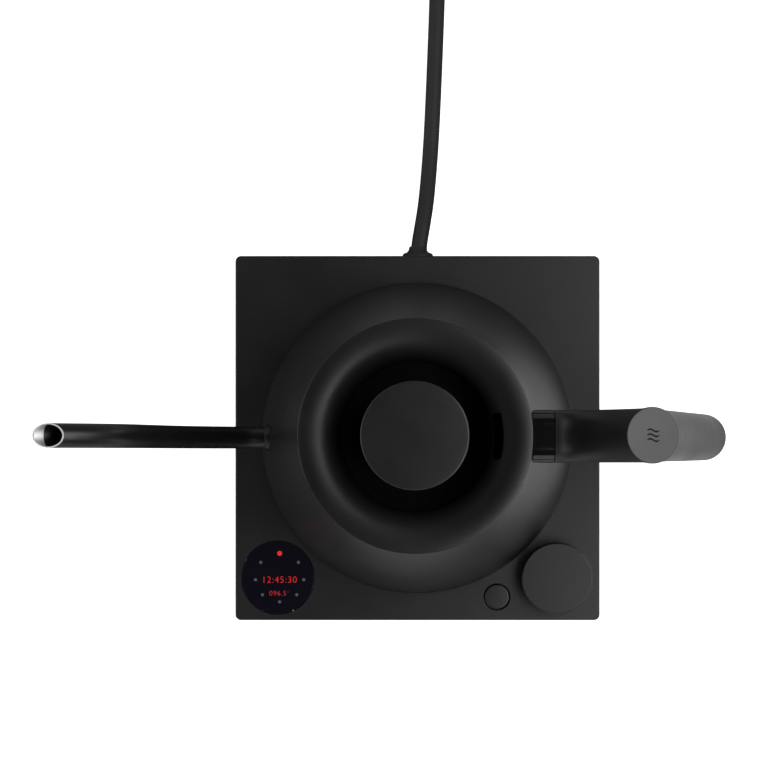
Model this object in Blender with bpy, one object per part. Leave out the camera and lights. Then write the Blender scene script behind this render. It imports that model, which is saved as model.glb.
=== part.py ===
"""Gooseneck electric kettle on a square heating base, modelled piece by piece.

Lengths in this file are millimetres and become metres in the meshes. +X points to the handle,
+Y to the cord and +Z up, with z = 0 on the table under the feet. X and Y inside a group are
measured from that group's own axis: the kettle's, the dial's or the button's.
"""

import math

import bmesh
import bpy
from mathutils import Matrix, Vector

MM = 0.001
GAP = 0.3

# Overall reach of the kettle on each side of its own axis; the origin is midway between them.
SPOUT_REACH = 152.6
HANDLE_REACH = 137.8
AXIS_X = (SPOUT_REACH - HANDLE_REACH) / 2

# Square base
BASE_SIDE = 170.0
BASE_TOP = 30.0
BASE_CORNER = 2.6
BASE_EDGE = 0.7
BASE_WALL = 2.4
BASE_SKIRT = 2.4
TRAY_BOTTOM = 2.6
TRAY_TOP = 5.0
FOOT_RADIUS = 8.0
FOOT_OFFSET = 70.0
FOOT_HEIGHT = 2.3
BASE_SCREW_X = 75.0
BASE_SCREW_Y = 38.0

# Controls, each as X and Y from the kettle's axis
DISPLAY_AT = (-65.2, -65.1)
DISPLAY_RADIUS = 16.9
BUTTON_AT = (37.0, -74.1)
BUTTON_RADIUS = 5.75
DIAL_AT = (64.6, -65.0)
DIAL_RADIUS = 16.4
DIAL_TOP = 39.5
SHAFT_RADIUS = 3.0
BOARD_Z = 16.0
POWER_BOARD_Z = 9.0
BOARD_THICKNESS = 1.6

# Round connector under the kettle
TOWER_RADIUS = 14.0
TOWER_TOP = 36.0
SOCKET_RADIUS = 19.0
SOCKET_TOP = 41.0

# Kettle body, a steel cone
BODY_RADIUS = 72.0
BODY_EDGE_Z = 36.0
BODY_BOTTOM = 31.3
BODY_OPENING = 66.2
RIM_RADIUS = 48.5
RIM_Z = 139.8
MOUTH_RADIUS = 45.1
MOUTH_DEPTH = 7.0
STEEL = 1.2
FLOOR_Z = 46.0

# Lid
LID_TOP = 141.6
LID_RADIUS = 48.8
LID_CREST_RADIUS = 45.4
LID_ROUND = 15.0
LID_FLOOR = 108.0
KNOB_SKIRT_Z = 127.0
KNOB_RADIUS = 22.0
KNOB_TOP = 165.5
KNOB_CROWN = 0.5
VENT_INNER = 33.0
VENT_OUTER = 36.6
VENT_HALF_ANGLE = math.radians(16)

# Spout
SPOUT_RADIUS = 5.0
SPOUT_BORE = 4.45
SPOUT_ROOT_Z = 54.0
SPOUT_ROUTE = (
    (-62, 54), (-70, 54), (-78, 56), (-86, 62), (-94, 71), (-101, 82), (-107, 97), (-112, 116),
    (-117, 135), (-123, 149), (-130, 157.8), (-137, 164.1), (-146.2, 170.6), (-156, 177.2),
)
TIP_CENTRE = (-146.2, 170.6)
TIP_TILT = math.radians(13)

# Handle
NECK_END = 57.9
NECK_WIDTH = 22.2
NECK_TOP = 137.0
NECK_BOTTOM = 119.0
NECK_POWER = 2.7
ARM_HEIGHT_Z = 128.0
CAP_CENTRE = (94.0, 182.0)
CAP_TILT = math.radians(18)
CAP_RADIUS = 11.2
CAP_THICKNESS = 2.0
GRIP_RADIUS = 10.3
GRIP_HEAD_RADIUS = 10.6
GRIP_FOOT = (128.7, 69.4)
GRIP_HEAD = (96.9, 165.0)
ARM_RADIUS = 10.8
ARM_CURVE = ((76.0, 128.0), (85.7, 156.3), (93.1, 179.1))

# Cord, plug and coil, each X and Y from the origin
CORD_RADIUS = 3.75
GLAND_Z = 14.0
GLAND_RADIUS = 7.3
GLAND_FACE = BASE_SIDE / 2 + 2.8
COIL_RADIUS = 38.5
COIL_TURNS = 2.25
COIL_PITCH = 7.6
COIL_Y = 257.0
CORD_EDGE_X = 17.0
COIL_X = CORD_EDGE_X - COIL_RADIUS
CORD_ROUTE = (
    (8.0, 88.2, 14.0), (8.1, 91.5, 14.0), (9.6, 101, 12.8), (11.1, 111, 10.0), (12.1, 121, 7.0),
    (12.9, 131, 4.9), (13.6, 141, 3.95), (14.2, 152, 3.8), (15.1, 172, 3.8), (15.9, 192, 3.8),
    (16.6, 212, 3.8), (17.0, 230.5, 3.8),
)
PLUG_GAP_X = 46.0
PLUG_LENGTH = 36.0
PLUG_Z = 13.0

SMOOTH_ANGLE = math.radians(35)
ROUND = 32
ROUND_LARGE = 48


# ---------------------------------------------------------------- helpers

def clear_scene():
    for item in list(bpy.data.objects):
        bpy.data.objects.remove(item, do_unlink=True)


def finish(name, color, roughness, metallic=0.0):
    """A material with one colour, made once and shared by name."""
    material = bpy.data.materials.get(name)
    if material is None:
        material = bpy.data.materials.new(name)
        material.use_nodes = True
        shader = material.node_tree.nodes["Principled BSDF"]
        shader.inputs["Base Color"].default_value = (*color, 1.0)
        shader.inputs["Roughness"].default_value = roughness
        shader.inputs["Metallic"].default_value = metallic
    return material


def black_plastic():
    return finish("black_plastic", (0.020, 0.020, 0.021), 0.55)


def coated_steel():
    return finish("coated_steel", (0.022, 0.022, 0.023), 0.5)


def bare_steel():
    return finish("bare_steel", (0.60, 0.60, 0.61), 0.28, 1.0)


def brass():
    return finish("brass", (0.72, 0.55, 0.28), 0.3, 1.0)


def soft_rubber():
    return finish("soft_rubber", (0.018, 0.018, 0.018), 0.8)


def circuit_board():
    return finish("circuit_board", (0.02, 0.12, 0.06), 0.5)


def axis_empty(name, x, y):
    """An empty on a group's vertical axis, which its pieces are parented to."""
    empty = bpy.data.objects.new(name, None)
    empty.location = (x * MM, y * MM, 0)
    bpy.context.scene.collection.objects.link(empty)
    return empty


def add(name, mesh, material=None, parent=None, location=(0, 0, 0)):
    """Turns a bmesh, in metres, into an object of its own."""
    bmesh.ops.recalc_face_normals(mesh, faces=mesh.faces)
    data = bpy.data.meshes.new(name)
    mesh.to_mesh(data)
    mesh.free()
    data.shade_smooth()
    data.set_sharp_from_angle(angle=SMOOTH_ANGLE)
    piece = bpy.data.objects.new(name, data)
    piece.location = [value * MM for value in location]
    piece.parent = parent
    bpy.context.scene.collection.objects.link(piece)
    if material:
        data.materials.append(material)
    return piece


def combine(piece, other, operation):
    """Cuts other from piece, or joins it to piece, and removes other."""
    modifier = piece.modifiers.new(operation, "BOOLEAN")
    modifier.operation = operation
    modifier.object = other
    bpy.context.view_layer.update()
    evaluated = piece.evaluated_get(bpy.context.evaluated_depsgraph_get())
    joined = bpy.data.meshes.new_from_object(evaluated)
    piece.modifiers.remove(modifier)
    joined.shade_smooth()
    joined.set_sharp_from_angle(angle=SMOOTH_ANGLE)
    piece.data = joined
    bpy.data.objects.remove(other, do_unlink=True)


def cut(piece, mesh, location=(0, 0, 0)):
    """Cuts a bmesh shape from the piece, placed from the same parent as the piece is."""
    combine(piece, add("cutter", mesh, None, piece.parent, location), "DIFFERENCE")


def join(piece, mesh, location=(0, 0, 0)):
    combine(piece, add("boss", mesh, None, piece.parent, location), "UNION")


def lathe(outline, segments=ROUND):
    """Spins an outline of (radius, z) about Z. It closes on itself unless both ends are on Z."""
    mesh = bmesh.new()
    points = [mesh.verts.new((radius * MM, 0, z * MM)) for radius, z in outline]
    on_axis = outline[0][0] == 0 and outline[-1][0] == 0
    ends = points[1:] if on_axis else points[1:] + points[:1]
    edges = [mesh.edges.new(pair) for pair in zip(points, ends)]
    bmesh.ops.spin(
        mesh, geom=points + edges, axis=(0, 0, 1), cent=(0, 0, 0),
        steps=segments, angle=math.tau, use_merge=True,
    )
    bmesh.ops.remove_doubles(mesh, verts=mesh.verts, dist=1e-6)
    return mesh


def rod(radius, low, high, segments=16, at=(0, 0), edge=0.0):
    """An upright cylinder from z = low to z = high, with its top rim chamfered by edge."""
    outline = [(0, low), (radius, low), (radius, high - edge), (radius - edge, high), (0, high)]
    if not edge:
        outline.pop(3)
    mesh = lathe(outline, segments)
    bmesh.ops.translate(mesh, verts=mesh.verts, vec=(at[0] * MM, at[1] * MM, 0))
    return mesh


def slab(size_x, size_y, low, high, corner=0.0, edge=0.0, at=(0, 0)):
    """An upright block with round vertical corners and a chamfered top edge."""
    mesh = bmesh.new()
    bmesh.ops.create_cube(mesh, size=1.0)
    bmesh.ops.scale(mesh, verts=mesh.verts, vec=(size_x * MM, size_y * MM, (high - low) * MM))
    middle = (at[0] * MM, at[1] * MM, (low + high) / 2 * MM)
    bmesh.ops.translate(mesh, verts=mesh.verts, vec=middle)
    if corner:
        upright = [e for e in mesh.edges if abs(e.verts[0].co.z - e.verts[1].co.z) > MM * 0.1]
        bmesh.ops.bevel(
            mesh, geom=upright, offset=corner * MM, segments=4, profile=0.5, affect="EDGES"
        )
    if edge:
        top = [e for e in mesh.edges if min(v.co.z for v in e.verts) > (high - 0.01) * MM]
        bmesh.ops.bevel(
            mesh, geom=top, offset=edge * MM, segments=2, profile=0.5, affect="EDGES"
        )
    return mesh


def arc(centre, radius, start, end, steps):
    """Points of (radius, z) along an arc of a turned outline, with angles in degrees."""
    angles = [math.radians(start + (end - start) * i / steps) for i in range(steps + 1)]
    return [(centre[0] + radius * math.cos(a), centre[1] + radius * math.sin(a)) for a in angles]


def smooth_path(route, per_span):
    """Points along a centripetal Catmull-Rom curve through every point of the route."""
    points = [Vector(p) for p in route]
    points = [2 * points[0] - points[1], *points, 2 * points[-1] - points[-2]]
    path = []
    for a, b, c, d in zip(points, points[1:], points[2:], points[3:]):
        t1 = (b - a).length ** 0.5
        t2 = t1 + (c - b).length ** 0.5
        t3 = t2 + (d - c).length ** 0.5
        for i in range(per_span):
            t = t1 + (t2 - t1) * i / per_span
            ab = a.lerp(b, t / t1)
            bc = b.lerp(c, (t - t1) / (t2 - t1))
            cd = c.lerp(d, (t - t2) / (t3 - t2))
            early, late = ab.lerp(bc, t / t2), bc.lerp(cd, (t - t1) / (t3 - t1))
            path.append(early.lerp(late, (t - t1) / (t2 - t1)))
    path.append(points[-2])
    return path


def bridge(mesh, rings, loop=False):
    """Joins neighbouring rings of vertices, and the last to the first when loop is set."""
    pairs = zip(rings, rings[1:] + rings[:1]) if loop else zip(rings, rings[1:])
    for ring, following in pairs:
        for i, vertex in enumerate(ring):
            j = (i + 1) % len(ring)
            mesh.faces.new((vertex, ring[j], following[j], following[i]))


def ring_in_xz(mesh, centre, direction, half_width, half_height, power, sides):
    """A superellipse of vertices square to a direction in the XZ plane; centre is (x, z)."""
    normal = Vector((-direction[1], direction[0]))
    ring = []
    for i in range(sides):
        a = math.tau * i / sides
        across = math.copysign(abs(math.cos(a)) ** (2 / power), math.cos(a)) * half_width
        out = math.copysign(abs(math.sin(a)) ** (2 / power), math.sin(a)) * half_height
        x = centre[0] + normal[0] * out
        z = centre[1] + normal[1] * out
        ring.append(mesh.verts.new((x * MM, across * MM, z * MM)))
    return ring


def lying(mesh, direction):
    """Turns an upright bmesh so that its +Z runs along direction."""
    turn = Vector((0, 0, 1)).rotation_difference(Vector(direction)).to_matrix()
    bmesh.ops.rotate(mesh, verts=mesh.verts, matrix=turn)
    return mesh


def body_cone(offset=0.0):
    """A solid cone on the body's outer surface, grown by offset, for shaping what meets it."""
    slope = (BODY_RADIUS - RIM_RADIUS) / (RIM_Z - BODY_EDGE_Z)
    low, high = BODY_EDGE_Z - 4, RIM_Z + 4
    return lathe(
        [
            (0, low),
            (BODY_RADIUS + 4 * slope + offset, low),
            (RIM_RADIUS - 4 * slope + offset, high),
            (0, high),
        ],
        ROUND_LARGE,
    )


# ---------------------------------------------------------------- base

def base_screw_places():
    return [(x, y) for x in (-BASE_SCREW_X, BASE_SCREW_X) for y in (-BASE_SCREW_Y, BASE_SCREW_Y)]


def base_cover(parent):
    cover = add(
        "base_cover",
        slab(BASE_SIDE, BASE_SIDE, BASE_SKIRT, BASE_TOP, BASE_CORNER, BASE_EDGE),
        black_plastic(),
        parent,
    )
    inside = BASE_SIDE - 2 * BASE_WALL
    cut(cover, slab(inside, inside, 0, BASE_TOP - BASE_WALL, 1.2))
    holes = (
        (DISPLAY_AT, DISPLAY_RADIUS + GAP, ROUND),
        (BUTTON_AT, BUTTON_RADIUS + 0.5, 24),
        (DIAL_AT, 5.0, 24),
        ((0, 0), TOWER_RADIUS + GAP, ROUND),
    )
    for at, radius, segments in holes:
        cut(cover, rod(radius, BASE_TOP - 4, BASE_TOP + 1, segments, at))
    gland_hole = lying(rod(5.5, 0, 8, 24), (0, 1, 0))
    cut(cover, gland_hole, (0, BASE_SIDE / 2 - 5, GLAND_Z))
    for at in base_screw_places():
        join(cover, rod(4.0, 8, BASE_TOP - 1.5, 12, at))
        cut(cover, rod(1.9, 6, 18, 12, at))


def base_bottom(parent):
    width = BASE_SIDE - 2 * BASE_WALL - 2 * GAP
    tray = add(
        "base_bottom", slab(width, width, TRAY_BOTTOM, TRAY_TOP, 1.0), black_plastic(), parent
    )
    for at in base_screw_places():
        cut(tray, rod(1.9, 0, 8, 12, at))
    posts = [(x, y, BOARD_Z) for x in (-40, 15) for y in (-76, -54)]
    posts += [(x, y, POWER_BOARD_Z) for x in (-35, 35) for y in (36, 70)]
    for x, y, top in posts:
        join(tray, rod(2.5, TRAY_TOP - 1, top - GAP, 10, (x, y)))


def feet(parent):
    corners = [(x, y) for x in (-FOOT_OFFSET, FOOT_OFFSET) for y in (-FOOT_OFFSET, FOOT_OFFSET)]
    for number, (x, y) in enumerate(corners, 1):
        outline = [(0, 0), (FOOT_RADIUS - 1, 0), (FOOT_RADIUS, 1), (FOOT_RADIUS, FOOT_HEIGHT)]
        foot = lathe([*outline, (0, FOOT_HEIGHT)], 20)
        add(f"foot_{number}", foot, soft_rubber(), parent, (x, y, 0))


def screw_mesh(head_radius, head, shank_radius, length):
    """A pan-head screw standing on its head at z = 0, with its shank upwards."""
    return lathe(
        [
            (0, 0), (head_radius - 0.5, 0), (head_radius, 0.5), (head_radius, head),
            (shank_radius, head), (shank_radius, length), (0, length),
        ],
        12,
    )


def base_screws(parent):
    for number, (x, y) in enumerate(base_screw_places(), 1):
        screw = screw_mesh(3.0, 1.6, 1.5, 15)
        add(f"base_screw_{number}", screw, bare_steel(), parent, (x, y, 0.6))


def base_connector(parent):
    """The round tower that the kettle stands over, with an annular slot and a centre hole."""
    top = TOWER_TOP
    under = BASE_TOP - BASE_WALL - GAP
    outline = [
        (2.6, 20), (19, 20), (19, under), (TOWER_RADIUS, under), (TOWER_RADIUS, top - 1),
        (TOWER_RADIUS - 1, top), (10.6, top), (10.6, 25), (7.9, 25), (7.9, top), (2.6, top),
    ]
    add("base_connector", lathe(outline, 24), black_plastic(), parent)


def base_contact(parent):
    ring = lathe([(8.2, 25.3), (10.3, 25.3), (10.3, 26.5), (8.2, 26.5)], 24)
    add("base_contact_ring", ring, brass(), parent)


def display(parent):
    x, y = DISPLAY_AT
    lens = rod(DISPLAY_RADIUS, BASE_TOP - 1.2, BASE_TOP + 0.2, ROUND, edge=0.2)
    glass = finish("display_glass", (0.006, 0.006, 0.009), 0.06)
    add("display_lens", lens, glass, parent, (x, y, 0))
    top = BASE_TOP - 1.2 - GAP
    module = rod(DISPLAY_RADIUS - 1, BOARD_Z + BOARD_THICKNESS + GAP, top, 24)
    add("display_module", module, black_plastic(), parent, (x, y, 0))


def control_board(parent):
    """The narrow board along the front that carries the display, buzzer, button and encoder."""
    board = slab(152, 31, BOARD_Z, BOARD_Z + BOARD_THICKNESS, at=(0, -65))
    add("control_board", board, circuit_board(), parent)
    low = BOARD_Z + BOARD_THICKNESS + GAP
    x, y = BUTTON_AT
    add("button_switch", slab(6, 6, low, low + 4), black_plastic(), parent, (x, y, 0))
    add("buzzer", rod(5, low, low + 6.5), black_plastic(), parent, (0, -64, 0))
    x, y = DIAL_AT
    encoder = add("encoder", slab(13, 13, low, 26.8), bare_steel(), parent, (x, y, 0))
    cut(encoder, rod(SHAFT_RADIUS + 0.2, 20, 30, 24), (x, y, 0))


def power_board(parent):
    """The mains board at the back and the parts that stand on it."""
    board = slab(96, 46, POWER_BOARD_Z, POWER_BOARD_Z + BOARD_THICKNESS, at=(0, 53))
    add("power_board", board, circuit_board(), parent)
    low = POWER_BOARD_Z + BOARD_THICKNESS + GAP
    amber = finish("amber_wrap", (0.55, 0.38, 0.05), 0.5)
    add("transformer", slab(20, 18, low, low + 15), amber, parent, (-30, 50, 0))
    add("relay", slab(19, 15, low, low + 14), black_plastic(), parent, (-4, 50, 0))
    add("capacitor", rod(6, low, low + 14), black_plastic(), parent, (16, 50, 0))
    blue = finish("blue_plastic", (0.05, 0.12, 0.35), 0.5)
    add("terminal_block", slab(20, 9, low, low + 9), blue, parent, (0, 68, 0))


def dial(turned):
    """Knob over the encoder's shaft. It turns with the shaft and presses down along it."""
    shaft = rod(SHAFT_RADIUS, 20.6, DIAL_TOP - 2.7, 24)
    add("dial_shaft", shaft, bare_steel(), turned)
    low = BASE_TOP + 1.2
    outline = [
        (SHAFT_RADIUS + 0.15, low), (6, low), (6, DIAL_TOP - 2.5), (DIAL_RADIUS - 2, DIAL_TOP - 2.5),
        (DIAL_RADIUS - 2, low), (DIAL_RADIUS, low), (DIAL_RADIUS, DIAL_TOP - 0.5),
        (DIAL_RADIUS - 0.5, DIAL_TOP), (0, DIAL_TOP), (0, DIAL_TOP - 1.5),
        (SHAFT_RADIUS + 0.15, DIAL_TOP - 1.5),
    ]
    add("dial", axis_lathe(outline, ROUND), black_plastic(), turned)


def axis_lathe(outline, segments):
    """Spins an outline that touches Z between two of its points, which become poles."""
    first = next(i for i, point in enumerate(outline) if point[0] == 0)
    rolled = outline[first + 1:] + outline[:first + 1]
    return lathe(rolled, segments)


def button(pressed):
    """Round cap with a flange under the cover and a stem that reaches for the switch."""
    top = BASE_TOP + 0.1
    outline = [
        (0, 22.8), (2, 22.8), (2, 25.2), (7.2, 25.2), (7.2, 26.5), (BUTTON_RADIUS, 26.5),
        (BUTTON_RADIUS, top - 0.3), (BUTTON_RADIUS - 0.3, top), (2.5, top - 0.35), (0, top - 0.4),
    ]
    add("button", lathe(outline, 24), black_plastic(), pressed)


# ---------------------------------------------------------------- kettle

def kettle_socket(parent):
    """The kettle's half of the connector: a cup over the tower, its ring blade and its pin."""
    roof = TOWER_TOP + GAP + 0.3
    wall = TOWER_RADIUS + 0.7
    outline = [
        (0, roof), (wall, roof), (wall, 30.8), (SOCKET_RADIUS, 30.8), (SOCKET_RADIUS, SOCKET_TOP),
        (0, SOCKET_TOP),
    ]
    add("kettle_socket", lathe(outline, 24), black_plastic(), parent)
    blade_top = roof - GAP
    blade = lathe([(8.6, 27.2), (9.9, 27.2), (9.9, blade_top), (8.6, blade_top)], 24)
    add("socket_ring", blade, brass(), parent)
    add("socket_pin", rod(1.6, 24.5, blade_top), brass(), parent)


def kettle_body(parent):
    """Steel cone with a rounded foot, rolled in at the top to a mouth for the lid."""
    slope = (BODY_RADIUS - RIM_RADIUS) / (RIM_Z - 0.5 - BODY_EDGE_Z)
    foot = BODY_EDGE_Z - BODY_BOTTOM
    inner_foot = foot - STEEL
    centre = (BODY_RADIUS - foot, BODY_EDGE_Z)
    outer = [
        (MOUTH_RADIUS, RIM_Z - MOUTH_DEPTH),
        (MOUTH_RADIUS, RIM_Z),
        (RIM_RADIUS - 0.5, RIM_Z),
        (RIM_RADIUS, RIM_Z - 0.5),
        *arc(centre, foot, 0, -90, 4),
        (BODY_OPENING, BODY_BOTTOM),
    ]
    inside_top = RIM_Z - STEEL - 0.5
    inner = [
        (BODY_OPENING, BODY_BOTTOM + STEEL),
        *arc(centre, inner_foot, -90, 0, 3),
        (RIM_RADIUS + slope * (RIM_Z - 0.5 - inside_top) - STEEL - 0.1, inside_top),
        (MOUTH_RADIUS + STEEL, inside_top),
        (MOUTH_RADIUS + STEEL, RIM_Z - MOUTH_DEPTH),
    ]
    body = add("kettle_body", lathe(outer + inner, ROUND_LARGE), coated_steel(), parent)
    hole = lying(rod(SPOUT_RADIUS + GAP, 0, 20, 24), (-1, 0, 0))
    cut(body, hole, (-60, 0, SPOUT_ROOT_Z))


def body_inner_radius(z):
    slope = (BODY_RADIUS - RIM_RADIUS) / (RIM_Z - 0.5 - BODY_EDGE_Z)
    return BODY_RADIUS - slope * (z - BODY_EDGE_Z) - STEEL - 0.1


def heater(parent):
    """Floor plate with screw bosses, the spreader under it and the element on the spreader."""
    edge = body_inner_radius(FLOOR_Z + 1.5) - GAP
    disc = lathe(
        [(0, FLOOR_Z), (edge, FLOOR_Z), (edge, FLOOR_Z + 1.5), (0, FLOOR_Z + 1.5)], ROUND_LARGE
    )
    plate = add("heater_plate", disc, bare_steel(), parent)
    for x, y in bottom_screw_places():
        join(plate, rod(3.0, 35.2, FLOOR_Z + 0.7, 12, (x, y)))
        cut(plate, rod(1.8, 34, 43, 12, (x, y)))
    top = FLOOR_Z - GAP
    spreader = lathe([(7, top - 2.5), (50, top - 2.5), (50, top), (7, top)])
    aluminium = finish("aluminium", (0.75, 0.75, 0.76), 0.4, 1.0)
    add("heat_spreader", spreader, aluminium, parent)
    element_z = top - 2.5 - GAP - 3.2
    steps = 20
    points = []
    for i in range(steps + 1):
        a = math.radians(15 + 330 * i / steps)
        points.append((38 * math.cos(a), 38 * math.sin(a), element_z))
    tube("heating_element", points, 3.2, bare_steel(), parent, 2)
    probe = lathe([(0, SOCKET_TOP + GAP), (4, SOCKET_TOP + GAP), (4, 43), (3, top), (0, top)], 16)
    add("temperature_probe", probe, bare_steel(), parent)


def bottom_screw_places():
    angles = [math.radians(90 + 120 * i) for i in range(3)]
    return [(54 * math.cos(a), 54 * math.sin(a)) for a in angles]


def bottom_cover(parent):
    """Plastic floor under the heater, with the ring that the kettle stands on."""
    hole = SOCKET_RADIUS + GAP
    outline = [
        (hole, 32), (60, 32), (60, BASE_TOP + GAP), (64.5, BASE_TOP + GAP), (65.5, 31.3),
        (65.5, 34.5), (hole, 34.5),
    ]
    cover = add("bottom_cover", lathe(outline, ROUND_LARGE), black_plastic(), parent)
    for number, (x, y) in enumerate(bottom_screw_places(), 1):
        cut(cover, rod(1.8, 30, 36, 12, (x, y)))
        screw = screw_mesh(2.8, 1.0, 1.4, 10)
        add(f"bottom_screw_{number}", screw, bare_steel(), parent, (x, y, 30.7))


def tube(name, points, radius, material, parent, resolution):
    """A solid round tube along points in millimetres, with flat ends."""
    curve = bpy.data.curves.new(name, "CURVE")
    curve.dimensions = "3D"
    curve.bevel_depth = radius * MM
    curve.bevel_resolution = resolution
    curve.use_fill_caps = True
    spline = curve.splines.new("POLY")
    spline.points.add(len(points) - 1)
    for target, point in zip(spline.points, points):
        target.co = (point[0] * MM, point[1] * MM, point[2] * MM, 1)
    piece = bpy.data.objects.new(name, curve)
    piece.parent = parent
    curve.materials.append(material)
    bpy.context.scene.collection.objects.link(piece)


def spout(parent):
    """Hollow gooseneck, cut at a slant at its tip, and the collar where it meets the body."""
    path = smooth_path(SPOUT_ROUTE, 2)
    mesh = bmesh.new()
    outer, inner = [], []
    for i, point in enumerate(path):
        ahead = path[min(i + 1, len(path) - 1)] - path[max(i - 1, 0)]
        along = ahead.normalized()
        outer.append(ring_in_xz(mesh, point, along, SPOUT_RADIUS, SPOUT_RADIUS, 2, 12))
        inner.append(ring_in_xz(mesh, point, along, SPOUT_BORE, SPOUT_BORE, 2, 12))
    bridge(mesh, outer + inner[::-1], loop=True)
    gooseneck = add("spout", mesh, coated_steel(), parent)
    top = bmesh.new()
    bmesh.ops.create_cube(top, size=60 * MM)
    bmesh.ops.translate(top, verts=top.verts, vec=(0, 0, 30 * MM))
    turn = Matrix.Rotation(-TIP_TILT, 3, "Y")
    bmesh.ops.rotate(top, verts=top.verts, matrix=turn)
    cut(gooseneck, top, (TIP_CENTRE[0], 0, TIP_CENTRE[1]))

    bore = SPOUT_RADIUS + 0.45
    ring = lathe([(bore, 62), (6.3, 62), (6.3, 70.4), (6.0, 70.8), (bore, 70.8)], 24)
    collar = add("spout_collar", lying(ring, (-1, 0, 0)), coated_steel(), parent)
    collar.location.z = SPOUT_ROOT_Z * MM
    cut(collar, body_cone(GAP), (0, 0, 0))


def neck(parent):
    """Glossy bracket on the body that the handle's arm plugs onto."""
    height = NECK_TOP - NECK_BOTTOM
    mesh = bmesh.new()
    middle = (NECK_TOP + NECK_BOTTOM) / 2
    rings = [
        ring_in_xz(mesh, (x, middle), (1, 0), NECK_WIDTH / 2, height / 2, NECK_POWER, 24)
        for x in (44, NECK_END)
    ]
    bridge(mesh, rings)
    mesh.faces.new(rings[0])
    mesh.faces.new(rings[1])
    gloss = finish("gloss_black", (0.012, 0.012, 0.012), 0.08)
    bracket = add("handle_neck", mesh, gloss, parent)
    cut(bracket, body_cone(GAP))
    tongue = lying(rod(4, NECK_END - 3, NECK_END + 14, 16), (1, 0, 0))
    join(bracket, tongue, (0, 0, ARM_HEIGHT_Z))
    cut(bracket, rod(1.7, NECK_BOTTOM - 20, ARM_HEIGHT_Z + 3, 12), (NECK_END + 9, 0, 0))


def bezier(points, t):
    """Point and direction at t on a cubic Bezier curve of 2-D points."""
    a, b, c, d = (Vector(p) for p in points)
    ab, bc, cd = a.lerp(b, t), b.lerp(c, t), c.lerp(d, t)
    low, high = ab.lerp(bc, t), bc.lerp(cd, t)
    return low.lerp(high, t), (high - low).normalized()


def handle(parent):
    """Arm that rises from the neck to a head cut off by the round cap, and the grip below it."""
    up = Vector((math.sin(CAP_TILT), math.cos(CAP_TILT)))
    cap = Vector(CAP_CENTRE)
    start = (NECK_END + GAP, ARM_HEIGHT_Z)
    mesh = bmesh.new()
    rings = []
    steps = 9
    for i in range(steps + 1):
        t = i / steps
        point, along = bezier((start, *ARM_CURVE), t)
        half_width = 11.0 + (ARM_RADIUS - 11.0) * t
        half_height = 9.0 + (ARM_RADIUS - 9.0) * t
        power = NECK_POWER + (2 - NECK_POWER) * min(1, 1.6 * t)
        rings.append(ring_in_xz(mesh, point, along, half_width, half_height, power, 20))
    bridge(mesh, rings)
    mesh.faces.new(rings[0])
    mesh.faces.new(rings[-1])
    arm = add("handle", mesh, black_plastic(), parent)

    foot, head = Vector(GRIP_FOOT), Vector(GRIP_HEAD)
    down = (foot - head).normalized()
    sections = (
        (cap - up * (CAP_THICKNESS + GAP), -up, CAP_RADIUS),
        (head, down, GRIP_HEAD_RADIUS),
        (foot - down * 2.6, down, GRIP_RADIUS),
        (foot - down * 0.8, down, GRIP_RADIUS - 0.7),
        (foot, down, GRIP_RADIUS - 2.5),
    )
    grip = bmesh.new()
    rings = [
        ring_in_xz(grip, centre, along, radius, radius, 2, 24) for centre, along, radius in sections
    ]
    bridge(grip, rings)
    grip.faces.new(rings[0])
    grip.faces.new(rings[-1])
    join(arm, grip)
    cut(arm, lying(rod(4 + GAP, 0, 15, 16), (1, 0, 0)), (NECK_END - 0.5, 0, ARM_HEIGHT_Z))
    cut(arm, rod(1.7, 100, ARM_HEIGHT_Z, 12), (NECK_END + 9, 0, 0))
    cut(arm, rod(3.2, 100, 120.8, 12), (NECK_END + 9, 0, 0))

    disc = lying(rod(CAP_RADIUS, -CAP_THICKNESS, 0, 32, edge=0.4), (up[0], 0, up[1]))
    add("handle_cap", disc, black_plastic(), parent, (cap[0], 0, cap[1]))
    screw = screw_mesh(2.6, 1.5, 1.4, 8.5)
    add("handle_screw", screw, bare_steel(), parent, (NECK_END + 9, 0, 119.3))


# ---------------------------------------------------------------- lid

def lid_shell(parent):
    """Rim that rolls over in one sweep into a deep recess about the knob, with a steam slot."""
    well = LID_CREST_RADIUS - LID_ROUND
    low = LID_TOP - 1.5
    inner = LID_ROUND - STEEL
    start = math.degrees(math.acos((LID_RADIUS - LID_CREST_RADIUS) / LID_ROUND))
    upper = [
        (LID_RADIUS, low), *arc((LID_CREST_RADIUS, LID_TOP - LID_ROUND), LID_ROUND, start, 180, 7),
        (well, LID_FLOOR + STEEL + 1), (well - 1, LID_FLOOR + STEEL), (3.2, LID_FLOOR + STEEL),
    ]
    lower = [
        (3.2, LID_FLOOR), (well + STEEL, LID_FLOOR),
        *arc((LID_CREST_RADIUS, low - inner), inner, 180, 90, 5),
    ]
    shell = add("lid_shell", lathe(upper + lower, ROUND_LARGE), coated_steel(), parent)
    cut(shell, vent_cutter())


def vent_cutter():
    mesh = bmesh.new()
    steps = 6
    outline = []
    for radius, turn in ((VENT_OUTER, 1), (VENT_INNER, -1)):
        for i in range(steps + 1):
            a = turn * VENT_HALF_ANGLE * (2 * i / steps - 1)
            outline.append((radius * math.cos(a), radius * math.sin(a)))
    face = mesh.faces.new([mesh.verts.new((x * MM, y * MM, 128 * MM)) for x, y in outline])
    extruded = bmesh.ops.extrude_face_region(mesh, geom=[face])["geom"]
    moved = [item for item in extruded if isinstance(item, bmesh.types.BMVert)]
    bmesh.ops.translate(mesh, verts=moved, vec=(0, 0, 20 * MM))
    return mesh


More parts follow.
